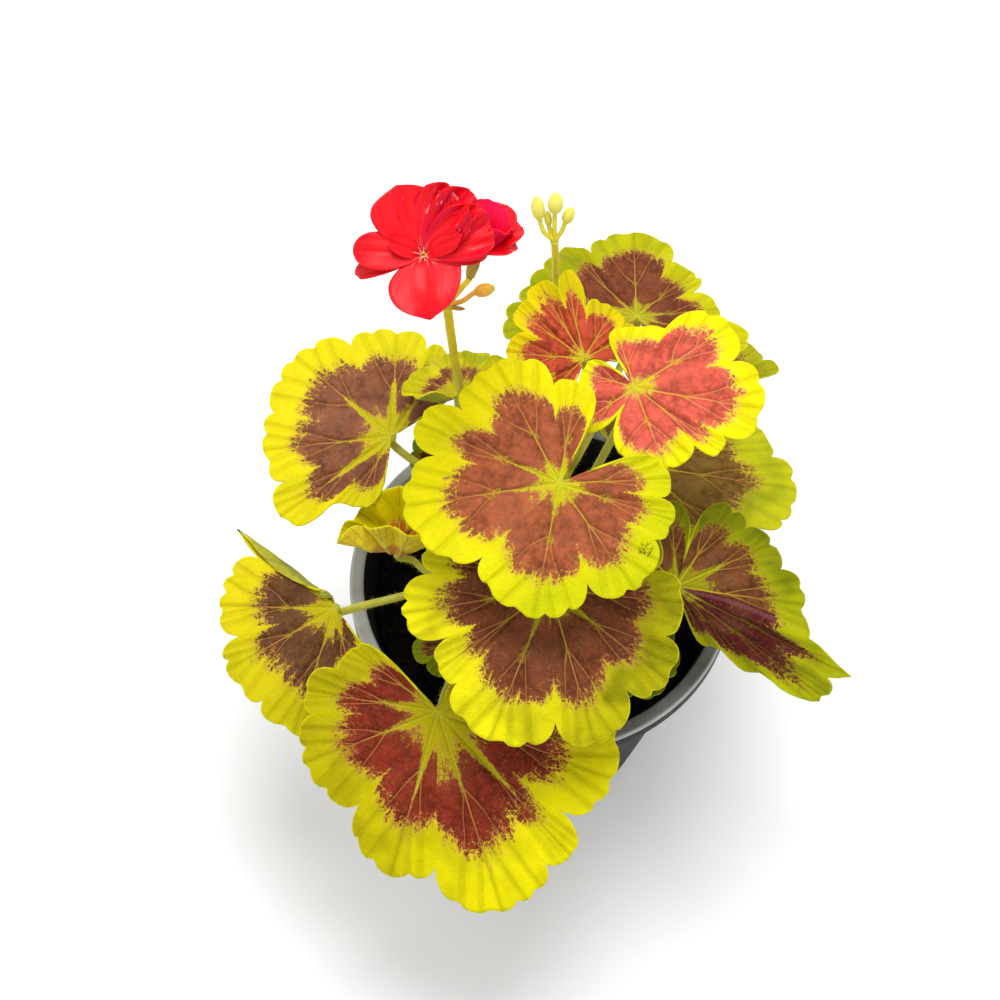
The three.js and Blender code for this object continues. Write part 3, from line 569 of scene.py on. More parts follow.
# at is the top of the petiole, and turn the leaf's heading, dip and roll in degrees. start is the direction
# and radius of the notch before the first lobe. A lobe is its vein's direction and length, the direction
# and radius of the notch after it, and its roundness if that isn't 2. cup raises the rim, and pleat and
# ruffle deepen its waves. A fold is the direction it lies towards, its distance, the width that it takes,
# its angle and how far its crease bows. joins is the compass angle and height of the joint on the stem,
# and via are the points that the petiole passes. A small leaf has a coarser grid and a thinner petiole.
LEAVES = {
    "leaf_centre": dict(
        at=(.003, -.02, .16), turn=(-137, 15, -16), cup=-.002, start=(-163, .01),
        lobes=[(-145, .026, -132, .025), (-108, .034, -83, .031), (-69, .038, -58, .032),
               (-37, .0385, -1, .027, 1.45), (34, .033, 60, .0265, 1.7), (80, .0315, 104, .028, 1.7),
               (117, .029, 127, .026), (138, .027, 157, .011)],
        joins=(-90, .119), via=[(.003, -.014, .146), (.003, -.007, .13)],
    ),
    "leaf_front": dict(
        at=(.001, -.035, .135), turn=(-92, 25, -1), cup=-.002, start=(-160, .01),
        lobes=[(-140, .029, -124, .026), (-108, .033, -96, .03), (-79, .037, -63, .0285),
               (-52, .034, -43, .034), (-20, .04, 4, .034), (18, .04, 39, .032, 1.7), (54, .037, 70, .032),
               (86, .0335, 102, .027), (118, .03, 150, .01)],
        joins=(-100, .108), via=[(.001, -.028, .123), (.001, -.014, .113)],
    ),
    "leaf_low_front": dict(
        at=(-.027, -.051, .1), turn=(-76, 33, 13), start=(-150, .008),
        lobes=[(-137, .028, -124, .0295), (-110, .035, -100, .034), (-80, .0375, -52, .033, 1.6),
               (-28, .0445, -13, .0415, 1.5), (6, .054, 24, .049, 1.7), (31, .05, 40, .041),
               (58, .048, 80, .04), (100, .036, 145, .01)],
        joins=(-122, .097), via=[(-.025, -.043, .097), (-.016, -.022, .095)],
    ),
    "leaf_low_left": dict(
        at=(-.055, -.018, .095), turn=(-144, 18, -8), start=(-116, .005),
        lobes=[(-104, .0062, -97, .0115), (-79, .0352, -73, .0265, 1.1), (-42, .0318, -24, .0275),
               (-10, .0332, 14, .032), (34, .035, 52, .027), (66, .02, 90, .008)],
        folds=[(-167, .0006, .0022, 154)],
        joins=(-155, .091), via=[(-.048, -.0165, .0935), (-.036, -.0145, .096), (-.016, -.006, .094)],
    ),
    "leaf_upper_left": dict(
        at=(-.04, .02, .12), turn=(172, -2, -12), start=(-140, .01),
        lobes=[(-113, .029, -102, .027), (-84, .031, -58, .029), (-33, .035, -3, .033, 1.6),
               (15, .034, 34, .032), (47, .0365, 60, .0275), (72, .022, 92, .009)],
        joins=(172, .105), via=[(-.035, .018, .112), (-.018, .01, .107)],
    ),
    "leaf_small_back_left": dict(
        small=True, at=(-.022, .0235, .135), turn=(91, 20, 0), start=(-150, .006),
        lobes=[(-125, .015, -105, .015), (-80, .018, -62, .017), (-42, .02, -30, .018),
               (-15, .019, -2, .0175), (12, .018, 34, .0135), (56, .0155, 70, .014), (86, .015, 105, .013),
               (125, .012, 150, .005)],
        folds=[(180, .002, .004, 70)],
        joins=(172, .117), via=[(-.02, .02, .128), (-.01, .01, .12)],
    ),
    "leaf_young_folded": dict(
        small=True, at=(.01, .0225, .152), turn=(102, -17, -11), start=(-100, .009),
        lobes=[(-69, .019, -58, .016), (-42, .018, -13, .014), (0, .0245, 7, .0195),
               (18, .0235, 30, .0225), (40, .022, 53, .017), (72, .02, 104, .011), (122, .012, 150, .006)],
        folds=[(-90, -.001, .003, -35)],
        joins=(55, .116), via=[(.01, .018, .14), (.009, .012, .124)],
    ),
    "leaf_young_right": dict(
        at=(.022, .008, .16), turn=(-48, 13, 8), start=(-172, .005),
        lobes=[(-148, .014, -122, .014), (-95, .018, -71, .008, 1.7), (-22, .0230, 3, .0215, 1.7),
               (11, .0265, 19, .026, 2.6), (40, .0325, 65, .0265), (84, .03, 112, .018, 1.5),
               (155, .016, 170, .005)],
        joins=(0, .118), via=[(.019, .007, .146), (.013, .005, .126)],
    ),
    "leaf_back": dict(
        at=(.026, .059, .12), turn=(91, 15, 0), start=(-160, .01),
        lobes=[(-140, .028, -128, .027), (-112, .032, -97, .024), (-82, .023, -60, .018),
               (-40, .0255, -26, .0265), (-2, .0385, 22, .031, 1.6), (30, .037, 38, .035),
               (60, .034, 78, .032), (98, .037, 115, .033), (135, .028, 160, .01)],
        joins=(72, .106), via=[(.023, .05, .115), (.013, .028, .109)],
    ),
    "leaf_back_right": dict(
        small=True, at=(.0465, .058, .088), turn=(19, 9, 3), start=(-150, .006),
        lobes=[(-120, .015, -95, .014), (-70, .015, -45, .013), (-24, .015, -5, .015),
               (3, .0245, 12, .0215), (24, .022, 34, .02), (55, .02, 75, .017), (100, .016, 120, .013),
               (135, .013, 150, .005)],
        joins=(48, .086), via=[(.04, .05, .086), (.02, .026, .089)],
    ),
    "leaf_right": dict(
        at=(.025, .021, .105), turn=(-5, 9, -4), start=(-118, .009),
        lobes=[(-98, .027, -88, .027), (-68, .035, -50, .032), (-36, .04, -24, .039), (0, .045, 13, .04),
               (27, .0395, 40, .033), (58, .028, 78, .025), (104, .023, 140, .009)],
        joins=(25, .095), via=[(.019, .018, .099)],
    ),
    "leaf_tented_right": dict(
        at=(.033, -.0285, .125), turn=(-24, 15, 0), start=(-43, .008),
        lobes=[(-36, .0195, -28, .0232), (-21, .0320, -17.5, .0375), (-10.5, .0485, -2.5, .0462, 1.8),
               (1, .0500, 7, .038, .85), (22, .0345, 39, .03), (54, .0305, 68, .027), (82, .029, 99, .009),
               (116, .024, 135, .02), (155, .022, 178, .006)],
        folds=[(-88, -.0004, .0028, -62, .0046)],
        joins=(-40, .111), via=[(.026, -.022, .12), (.014, -.009, .114)],
    ),
    "leaf_curled_young": dict(
        small=True, pleat=2.6, ruffle=2.6, at=(-.038, -.007, .108), turn=(172, 0, 0), start=(-150, .005),
        lobes=[(-120, .014, -105, .013), (-85, .017, -60, .0145), (-38, .015, -25, .014),
               (-10, .016, 5, .0145), (22, .0165, 45, .013), (66, .015, 85, .013), (105, .014, 150, .005)],
        folds=[(90, .0005, .004, 100), (-90, .002, .006, 42)],
        joins=(-168, .098), via=[(-.0345, -.0068, .101), (-.029, -.0095, .098), (-.014, -.004, .0975)],
    ),
    "leaf_under_left": dict(
        small=True, at=(-.024, -.024, .088), turn=(175, 8, 0), start=(-150, .005),
        lobes=even_lobes(6, .011),
        joins=(-130, .084), via=[(-.02, -.018, .085)],
    ),
    "leaf_under_right": dict(
        small=True, at=(.0225, -.031, .095), turn=(-35, 12, 0), start=(-150, .006),
        lobes=even_lobes(6, .0138),
        joins=(-62, .099), via=[(.019, -.025, .092), (.01, -.01, .095)],
    ),
    "leaf_under_back": dict(
        small=True, at=(-.026, .029, .098), turn=(175, 5, 0), start=(-150, .005),
        lobes=even_lobes(6, .0105),
        joins=(150, .091), via=[(-.019, .021, .094)],
    ),
}
# zone is the chestnut colour, rim and green those outside it, and vein that of the veins in the zone. reach,
# star and flare say how far out the zone goes, how far in, and how far the green of the middle runs along
# the main veins, as shares of the way to the rim. greener is the direction, as a lobe's, towards which the
# rim turns greener and darker, partly its own colour and partly painted shade, lee the darker zone colour
# painted as shade on a half that lies in shade, scar the place of a mark in centimetres, and outside the
# colour of an under side that isn't plain green.
LEAF_PAINT = {
    "leaf_centre": dict(
        slot="zoned_leaf", zone=(176, 92, 56), rim=(250, 236, 0), green=(208, 212, 4), reach=0.70,
        star=0.12, flare=0.10, greener=92, scar=(-0.33, 2.60),
    ),
    "leaf_front": dict(
        slot="zoned_leaf", zone=(132, 70, 42), rim=(255, 244, 14), green=(146, 142, 0), reach=0.71,
        flare=0.16, greener=92,
    ),
    "leaf_low_front": dict(
        slot="zoned_leaf", zone=(144, 50, 30), rim=(250, 238, 0), green=(182, 170, 0), reach=0.69,
        star=0.22, flare=0.20, greener=-104,
    ),
    "leaf_low_left": dict(
        slot="zoned_leaf", zone=(112, 70, 40), rim=(246, 228, 20), green=(204, 192, 4), reach=0.67,
        star=0.16, flare=0.16, greener=64,
    ),
    "leaf_upper_left": dict(
        slot="zoned_leaf", zone=(142, 86, 58), rim=(244, 228, 10), green=(214, 206, 20), reach=0.72,
        star=0.2, flare=0.2, greener=-172,
    ),
    "leaf_small_back_left": dict(
        slot="green_leaf", zone=(128, 72, 40), rim=(222, 210, 12), green=(176, 176, 8), reach=0.62,
        star=0.26, flare=0.1,
    ),
    "leaf_young_folded": dict(
        slot="young_leaf", zone=(204, 78, 50), rim=(244, 220, 0), green=(222, 204, 0), reach=0.78,
        star=0.07, flare=0.06, vein=(240, 170, 80),
    ),
    "leaf_young_right": dict(
        slot="young_leaf", zone=(230, 96, 76), rim=(255, 244, 0), green=(236, 224, 0), reach=0.78,
        star=0.08, flare=0.06, vein=(250, 176, 110),
    ),
    "leaf_back": dict(
        slot="zoned_leaf", zone=(128, 64, 36), rim=(216, 210, 4), green=(154, 160, 0), reach=0.75,
        star=0.10, flare=0.14, greener=89,
    ),
    "leaf_back_right": dict(
        slot="green_leaf", zone=(122, 84, 50), rim=(192, 188, 24), green=(164, 166, 18),
    ),
    "leaf_right": dict(
        slot="zoned_leaf", zone=(130, 96, 36), rim=(206, 204, 20), green=(166, 174, 12),
    ),
    "leaf_tented_right": dict(
        slot="zoned_leaf", zone=(122, 70, 38), rim=(190, 192, 0), green=(112, 120, 0), star=0.24,
        flare=0.16, vein=(196, 150, 50), greener=112, lee=(88, 22, 26),
    ),
    "leaf_curled_young": dict(
        slot="green_leaf", zone=(214, 110, 24), rim=(246, 228, 0), green=(222, 206, 0), reach=0.46,
        star=0.1, flare=0.1, outside=(255, 226, 30),
    ),
    "leaf_under_left": dict(
        slot="green_leaf", zone=(110, 70, 40), rim=(150, 160, 20), green=(104, 126, 14),
    ),
    "leaf_under_right": dict(
        slot="green_leaf", zone=(110, 70, 40), rim=(128, 138, 10), green=(96, 114, 8),
    ),
    "leaf_under_back": dict(
        slot="green_leaf", zone=(110, 70, 40), rim=(150, 160, 20), green=(120, 136, 16),
    ),
}


def leaf_columns(leaf):
    """The blade's rays from its junction to its rim: direction, radius, lobe and place across the lobe."""
    columns = []
    before, inner = leaf["start"]
    for number, (vein, length, after, notch, *more) in enumerate(leaf["lobes"]):
        last = number == len(leaf["lobes"]) - 1
        roundness = more[0] if more else LOBE_ROUNDNESS
        arc = math.radians(after - before) * length
        half_steps = max(5, round(arc / COLUMN_WIDTH))
        scallops = max(1, round(arc / SCALLOP_WIDTH))
        for step in range(2 * half_steps + last):
            across = -math.cos(math.pi * step / (2 * half_steps))
            side, root = (vein - before, inner) if across < 0 else (after - vein, notch)
            at_sinus = (number == 0 and across < 0) or (last and across > 0)
            power = SINUS_ROUNDNESS if at_sinus else roundness
            radius = root + (length - root) * max(0, 1 - abs(across) ** power) ** (1 / power)
            direction = vein + side * across
            passed = (direction - before) / (after - before)
            uneven = 0.3 * math.sin(math.pi * passed) * math.sin(5 * passed + 2 * number)
            cusp = (1 - abs(math.sin(math.pi * (passed * scallops + uneven)))) ** 1.7
            depth = 0 if at_sinus and abs(across) > 0.6 else SCALLOP_DEPTH * min(1, length / 0.03)
            columns.append((direction, radius - depth * cusp, number, across))
        before, inner = after, notch
    return columns


def fold(point, towards, start, width, angle, bow=0):
    """Past a line across the blade, the blade rolls round a short arc and then runs straight on."""
    cosine, sine = math.cos(math.radians(towards)), math.sin(math.radians(towards))
    across = -point.x * sine + point.y * cosine
    start = start - bow * math.sin(math.pi * min(1, max(0, across / CREASE_LENGTH)))
    along = point.x * cosine + point.y * sine - start
    if along <= 0:
        return point
    arc = width / math.radians(angle)
    turn = min(along, width) / arc
    beyond = max(along - width, 0)
    new_along = start + (arc - point.z) * math.sin(turn) + beyond * math.cos(turn)
    new_height = arc - (arc - point.z) * math.cos(turn) + beyond * math.sin(turn)
    return Vector((
        new_along * cosine - across * sine, new_along * sine + across * cosine, new_height,
    ))


def vein_chart(leaf, column, share, lobe, side, shift):
    """A point's shares across and along from its lobe's main vein, and how wide a share across is."""
    direction, radius, _, _ = column
    before = leaf["lobes"][lobe - 1][2] if lobe else leaf["start"][0]
    vein, length, after = leaf["lobes"][lobe][:3]
    half = math.radians(vein - before if side < 0 else after - vein)
    off = math.radians(direction - vein)
    reach = radius * share
    size = length * math.tan(half)
    beside, ahead = reach * math.sin(off), reach * math.cos(off)
    across = abs(beside) / size
    along = ahead / length
    sway = 0.05 * noise.noise(Vector((ahead, beside, lobe * 0.013 + shift)) * 90)
    return across + sway * across * 2, along + sway + shift * min(1, across * 6), size


def vein_gaps(across, along, size):
    """Distances in metres to the main vein and to the nearest side vein."""
    gaps = []
    for start, end in SIDE_VEINS:
        line = end * VEIN_END * (along - start) / (VEIN_END - start)
        gaps.append(abs(across - line) * size * 0.8 if along > start else 1)
    return abs(across) * size, min(gaps)


def blade_height(leaf, column, share, mean, chart, seed):
    """Height of the blade over its flat outline: its pleats, with veins pressed in and a waved rim."""
    direction, radius, lobe, across = column
    ridge = 0.5 - 0.5 * math.cos(math.tau * (lobe + across / 2))
    height = leaf.get("cup", 0) * (radius * share / mean) ** 2
    height += PLEAT * leaf.get("pleat", 1) * min(1.6 * share, 1) * share * ridge
    main, side = vein_gaps(*chart)
    groove = VEIN_GROOVE * math.exp(-(main / 0.0012) ** 2) * (1 - 0.6 * share)
    groove += SIDE_VEIN_GROOVE * math.exp(-(side / 0.0011) ** 2) * min(1, 2.5 * share)
    spot = heading(direction) * radius * share
    wave = WAVE * leaf.get("ruffle", 1) * noise.noise(spot * 70 + Vector((0, 0, seed))) * share ** 2
    pucker = PUCKER * noise.noise(spot * 260 + Vector((0, 0, seed)))
    return height - groove * min(1, share * 4) + wave + pucker * min(1, share * 3)


def add_blade(bm, leaf, seed):
    """A grid whose columns are the rays and whose rows run from the junction to the rim."""
    columns = leaf_columns(leaf)
    rows = SMALL_ROWS if leaf.get("small") else ROWS
    mean = sum(lobe[1] for lobe in leaf["lobes"]) / len(leaf["lobes"])
    shifts = [[chance.uniform(-0.07, 0.07) for _ in range(2)] for _ in leaf["lobes"]]
    facing, dip, roll = [math.radians(angle) for angle in leaf["turn"]]
    place = Matrix.Translation(leaf["at"]) @ Euler((roll, dip, facing), "XYZ").to_matrix().to_4x4()
    last = len(columns) - 1
    bmesh.ops.create_grid(bm, x_segments=last, y_segments=rows, size=1)
    # flat is the place on the blade in centimetres, veins the millimetres beside the lobe's vein and the
    # share along it, rim the lobe's half width in millimetres and the share of the way out, and rays the
    # direction and the way out.
    flat, veins, rim, rays = [bm.loops.layers.uv.new(name) for name in ("flat", "veins", "rim", "rays")]

    def cell(vert):
        return round((vert.co.x + 1) / 2 * last), round((vert.co.y + 1) / 2 * rows)

    cells = {vert: cell(vert) for vert in bm.verts}
    for face in bm.faces:
        left = min(cells[vert][0] for vert in face.verts)
        lobe = columns[left][2]
        side = -1 if columns[left][3] < -1e-6 else 1
        for loop in face.loops:
            column, row = cells[loop.vert]
            direction, radius = columns[column][:2]
            reach = radius * row / rows
            shift = shifts[lobe][side > 0]
            across, along, size = vein_chart(leaf, columns[column], row / rows, lobe, side, shift)
            loop[flat].uv = (heading(direction) * reach * 100).xy
            loop[veins].uv = (across * size * 1000, along)
            loop[rim].uv = (size * 1000, row / rows)
            loop[rays].uv = (math.radians(direction) * mean * 100, row / rows * mean * 100)
    for vert, (column, row) in cells.items():
        direction, radius, lobe, across = columns[column]
        side = -1 if across < 0 else 1
        chart = vein_chart(leaf, columns[column], row / rows, lobe, side, shifts[lobe][side > 0])
        height = blade_height(leaf, columns[column], row / rows, mean, chart, seed)
        reach = radius * row / rows
        point = heading(direction) * reach + Vector((0, 0, height))
        for crease in leaf.get("folds", []):
            point = fold(point, *crease)
        vert.co = place @ point
    bmesh.ops.remove_doubles(bm, verts=bm.verts, dist=1e-6)
    bmesh.ops.reverse_faces(bm, faces=bm.faces)
    return place


def vein_lines(chart, size, wide):
    """Masks of the main vein and of the side veins, and the millimetres to the nearest of them."""
    across = chart.part("X")
    along = chart.part("Y")
    thin = wide * (1 - along * 0.6)
    main = 1 - across.rise(thin * 0.25, thin * 1.25)
    sides = None
    nearest = across
    for start, end in SIDE_VEINS:
        line = (along - start) * (end * VEIN_END / (VEIN_END - start))
        gap = abs(across - line * size) * 0.8
        there = along.rise(start, start + 0.02)
        nearest = nearest.smaller(gap + (1 - there) * 9)
        mask = (1 - gap.rise(thin * 0.1, thin * 0.8)) * there
        sides = sides.larger(mask) if sides else mask
    return main, sides, nearest


def shade(colour, gain, lift=0):
    """A finish's colour that is darker or lighter than the given one."""
    return rgb(*[min(255, part * gain + lift) for part in colour])


def under_finish(name, zone, green, reach, star, outside):
    """The leaf's paler under side, with raised veins and the zone showing through as a shadow."""
    under = Finish(name + " under side", roughness=0.62, specular_ior_level=0.3)
    edge = under.chart("rim")
    main, sides, nearest = vein_lines(under.chart("veins"), edge.part("X"), 0.5)
    mottle = under.noise(under.chart("flat"), 5, 3, 0.6)
    out = edge.part("Y") + (mottle - 0.5) * 0.2
    shadow = (1 - out.rise(reach - 0.08, reach + 0.06)) * out.rise(star, star + 0.12)
    pale = outside or [part * 0.62 + 0.38 * other for part, other in zip(green, (176, 190, 90))]
    colour = under.mix(mottle.rise(0.3, 0.7), shade(pale, 0.9), rgb(*pale))
    colour = under.mix(shadow * (0.8 if outside else 0.4), colour, shade(zone, 0.75, 30))
    colour = under.mix(main.larger(sides * 0.7) * 0.5, colour, shade(pale, 0.7, 62))
    under.feed("Base Color", colour)
    under.bump(main + sides * 0.7 + mottle * 0.3 - nearest.rise(0, 1.5) * 0.5, 0.0003)
    return under


def leaf_finishes(
    name, zone, rim, green, reach=0.72, star=0.13, flare=0.16, vein=(218, 146, 80), greener=None, lee=None,
    scar=None, outside=None,
):
    """The upper side of one leaf, with its zone, rim and veins, and its under side."""
    upper = Finish(name + " upper side", specular_ior_level=0.07)
    flat = upper.chart("flat")
    chart = upper.chart("veins")
    edge = upper.chart("rim")
    rays = upper.swayed(upper.chart("rays"), 2.2, 0.35)
    size = edge.part("X")
    out = edge.part("Y")
    along = chart.part("Y")
    from_vein = chart.part("X")
    main, sides, nearest = vein_lines(chart, size, 0.36)
    pillow = nearest.rise(0.05, 1.2)
    broad = upper.noise(flat, 0.9, 2)
    middle = upper.noise(flat, 4.5, 3, 0.6)
    fine = upper.noise(flat, 22, 2, 0.6)
    frayed = upper.noise(flat, 12, 5, 0.8, 0.4)
    streaks = upper.noise(upper.stretch(rays, 9, 1.9, 1), 1, 4, 0.72)
    net = upper.cells(upper.swayed(flat, 3, 0.16), 4.6, "DISTANCE_TO_EDGE")
    netting = 1 - net.rise(0.01, 0.08)
    tatter = (streaks - 0.5) * 0.30 + (frayed - 0.5) * 0.34 + netting * 0.05
    lobed = ((from_vein / size).rise(0, 1) - 0.45) * 0.08
    reached = out + (broad - 0.5) * 0.26 + lobed + tatter
    each = upper.noise(upper.stretch(upper.chart("rays"), 0.55, 0.06, 1), 1, 0).rise(0.36, 0.62)
    flared = (1 - from_vein.rise(0.1, 1.8)) ** 1.3 * (each * 1.2 + 0.4)
    opened = along + (middle - 0.5) * 0.26 - flared * flare + tatter * 0.9
    in_lee = 0
    if lee:
        bow = flat.part("X") * (math.pi / 4.8)
        ridge = flat.part("Y") - bow.maths("SINE", bow) * 0.46 - flat.part("X") * 0.035 - 0.04
        in_lee = 1 - ridge.rise(-0.06, 0.04)
        reached = reached - in_lee * 0.07
        opened = opened + in_lee * 0.24 + (1 - flat.part("X").rise(-0.2, 0.6)) * 0.12
    outer = 1 - reached.rise(reach - 0.03, reach + 0.03)
    inner = opened.rise(star - 0.035, star + 0.045)
    fork = SIDE_VEINS[0][0] + 0.02
    patch = 1 - (abs(along - fork) * 18 + from_vein - each).rise(0, 1.2)
    chestnut = outer * inner * (1 - patch * frayed.rise(0.44, 0.58) * 0.6)
    fringe = 1 - abs(reached - reach - 0.01).rise(0.01, 0.09)
    fringe = fringe.larger(1 - abs(opened - star).rise(0.01, 0.10))

    blush = middle * 0.5 + upper.noise(flat, 1.6, 4, 0.6) * 0.5
    zone_colour = upper.mix(blush.rise(0.36, 0.62), shade(zone, 0.75), shade(zone, 1.06))
    if lee:
        # Painted shade: the zone on the half that lies in shade is darker crimson.
        zone_colour = upper.mix(in_lee, zone_colour, rgb(*lee))
        sheen = (1 - abs(ridge + 0.11).rise(0.01, 0.07)) * 0.35
        zone_colour = upper.mix(sheen, zone_colour, rgb(140, 88, 104))
    # Painted shade: the zone darker in the valleys along the veins, away from the pillows.
    zone_colour = upper.mix((1 - pillow) * 0.30, zone_colour, shade(zone, 0.70))
    # Painted sheen: a paler, greyer zone on the raised pillows between the veins.
    zone_sheen = [part * 1.05 + lift for part, lift in zip(zone, (10, 16, 20))]
    zone_colour = upper.mix(broad.rise(0.42, 0.68) * pillow * 0.35, zone_colour, rgb(*zone_sheen))
    zone_colour = upper.mix(netting * frayed.rise(0.45, 0.6) * 0.22, zone_colour, rgb(*vein))
    zone_colour = upper.mix(fine.rise(0.67, 0.73) * 0.3, zone_colour, rgb(*vein))
    turning = broad.rise(0.42, 0.70)
    # Partly the leaf's own colour, partly painted shade: the rim turns greener and darker towards one side.
    if greener is not None:
        way = math.radians(greener)
        slope = flat.part("X") * math.cos(way) + flat.part("Y") * math.sin(way)
        turning = turning * 0.4 + slope.rise(-2.2, 3.2) * 0.8
    rim_colour = upper.mix(turning.smaller(1), rgb(*rim), rgb(*green))
    # Painted shade: the rim darker in the valleys along the veins.
    rim_colour = upper.mix((1 - pillow) * 0.24, rim_colour, shade(green, 0.88))
    rim_colour = upper.mix(streaks.rise(0.45, 0.7) * 0.16, rim_colour, shade(rim, 0.90))
    heart = [part * 0.5 + 0.5 * other for part, other in zip(green, (204, 186, 20))]
    rim_colour = upper.mix((1 - out.rise(0.3, 0.62)) * 0.85, rim_colour, rgb(*heart))
    colour = upper.mix(chestnut, rim_colour, zone_colour)
    colour = upper.mix(fringe * frayed.rise(0.40, 0.62) * 0.55, colour, shade(vein, 0.97))
    inner_vein = [part * 0.45 + 0.55 * other for part, other in zip(vein, (228, 196, 60))]
    vein_colour = upper.mix(along.rise(0.3, 0.6), rgb(*inner_vein), rgb(*vein))
    lines = main.larger(sides * 0.7) * (1 - out.rise(0.35, 1.0) * 0.55) * (1 - in_lee * 0.6)
    colour = upper.mix(lines * chestnut * 0.8, colour, vein_colour)
    # Painted shade: the veins on the rim darker green, as the shade in their valleys.
    colour = upper.mix(lines * (1 - outer) * 0.28, colour, shade(green, 0.80))
    colour = upper.mix(lines * (1 - inner) * 0.55, colour, rgb(216, 208, 60))
    specks = (1 - upper.cells(flat, 7).rise(0.05, 0.085)) * upper.noise(flat, 1.3, 1).rise(0.60, 0.64)
    colour = upper.mix(specks * 0.8, colour, rgb(60, 52, 20))
    if scar:
        away = upper.vector_maths("DISTANCE", flat, (*scar, 0), output="Value")
        mark = (1 - away.rise(0.12, 0.24)) * frayed.rise(0.50, 0.55)
        colour = upper.mix(mark * 0.9, colour, rgb(52, 40, 10))
    # A painted highlight: a pale line along the very rim.
    colour = upper.mix(out.rise(0.985, 0.997) * 0.5, colour, shade(rim, 1.04, 22))
    upper.feed("Base Color", colour)
    upper.feed("Roughness", 0.46 + fine * 0.16)
    relief = pillow * 0.9 + middle * 0.5 + fine * 0.12 + streaks * 0.25 - main * 0.3 - netting * 0.15
    upper.bump(relief, 0.00036)
    return upper, under_finish(name, zone, green, reach, star, outside)


petiole_green = Finish("petiole", roughness=0.5)
length_mottle = petiole_green.noise(petiole_green.place(), 300, 3, 0.6)
petiole_green.feed("Base Color", petiole_green.mix(
    length_mottle.rise(0.35, 0.7), rgb(200, 196, 46), rgb(218, 212, 72),
))
petiole_green.bump(length_mottle, 0.0001)

for number, (node, leaf) in enumerate(LEAVES.items()):
    paint = dict(LEAF_PAINT[node])
    slot = paint.pop("slot")
    leaf_bm = bmesh.new()
    lie = add_blade(leaf_bm, leaf, 3.7 * number)
    finishes = leaf_finishes(node, **paint)
    blade = make_piece(leaf_bm, "grown_" + node, node, slot, *finishes, petiole_green)
    body = blade.modifiers.new("thickness", "SOLIDIFY")
    body.thickness = BLADE
    body.offset = 0
    body.material_offset = 1
    settle(blade)

    joined = bmesh.new()
    joined.from_mesh(blade.data)
    top_point = lie @ Vector((0, 0, -0.0001))
    under_point = lie @ Vector((0, 0, -PETIOLE_DROP))
    passes = [Vector(place) for place in leaf["via"]]
    inside, clear = stem_joint(*leaf["joins"])
    route = smooth_path([top_point, under_point, *passes, clear, inside], 9)
    thick = SMALL_PETIOLE_RADIUS if leaf.get("small") else PETIOLE_RADIUS
    radii = []
    for place in route:
        top = (place - route[0]).length
        foot = (place - route[-1]).length
        radii.append(thick * (0.92 + 0.35 * math.exp(-top / 0.002) + 0.5 * math.exp(-(foot / 0.0035) ** 2)))
    petiole_frames = add_rod(joined, route, radii, 14, 2)
    add_hairs(joined, petiole_frames, radii, round(len(route) * 9), 0.0010, 2)
    joined.to_mesh(blade.data)
    joined.free()
    blade.data.shade_smooth()


# Flower stalk: one hairy stalk from the main stem up to its swollen head. From there two pedicels carry the
# blooms, each in a calyx of five pointed sepals, and there are one small side bud and three little bracts.
FLOWER_STALK = [(-.014, .007, .133), (-.020, .0095, .150), (-.022, .0105, .165), (-.023, .007, .185),
                (-.0234, 0, .205)]
FLOWER_STALK_JOINS = (125, .116)
STALK_RADIUS = 0.00115
PEDICEL_RADIUS = 0.0007
BUD_PEDICEL_RADIUS = 0.0006
BUD_HAIRS = 60
THROAT_DEPTH = 0.0012
CALYX_LENGTH = 0.0036
SEPALS = 5
SEPAL_LENGTH = 0.0052
SEPAL_WIDTH = 0.0029
SIDE_BUD = dict(
    seat=(-.0172, .0025, .206), tip=(-.0124, .0031, .2073), radius=.0016, via=(-.020, .001, .2048),
)
BRACTS = [((-.019, -.0015, .204), 0.0016), ((-.0255, -.0024, .2065), 0.0014), ((-.025, .003, .204), 0.0014)]
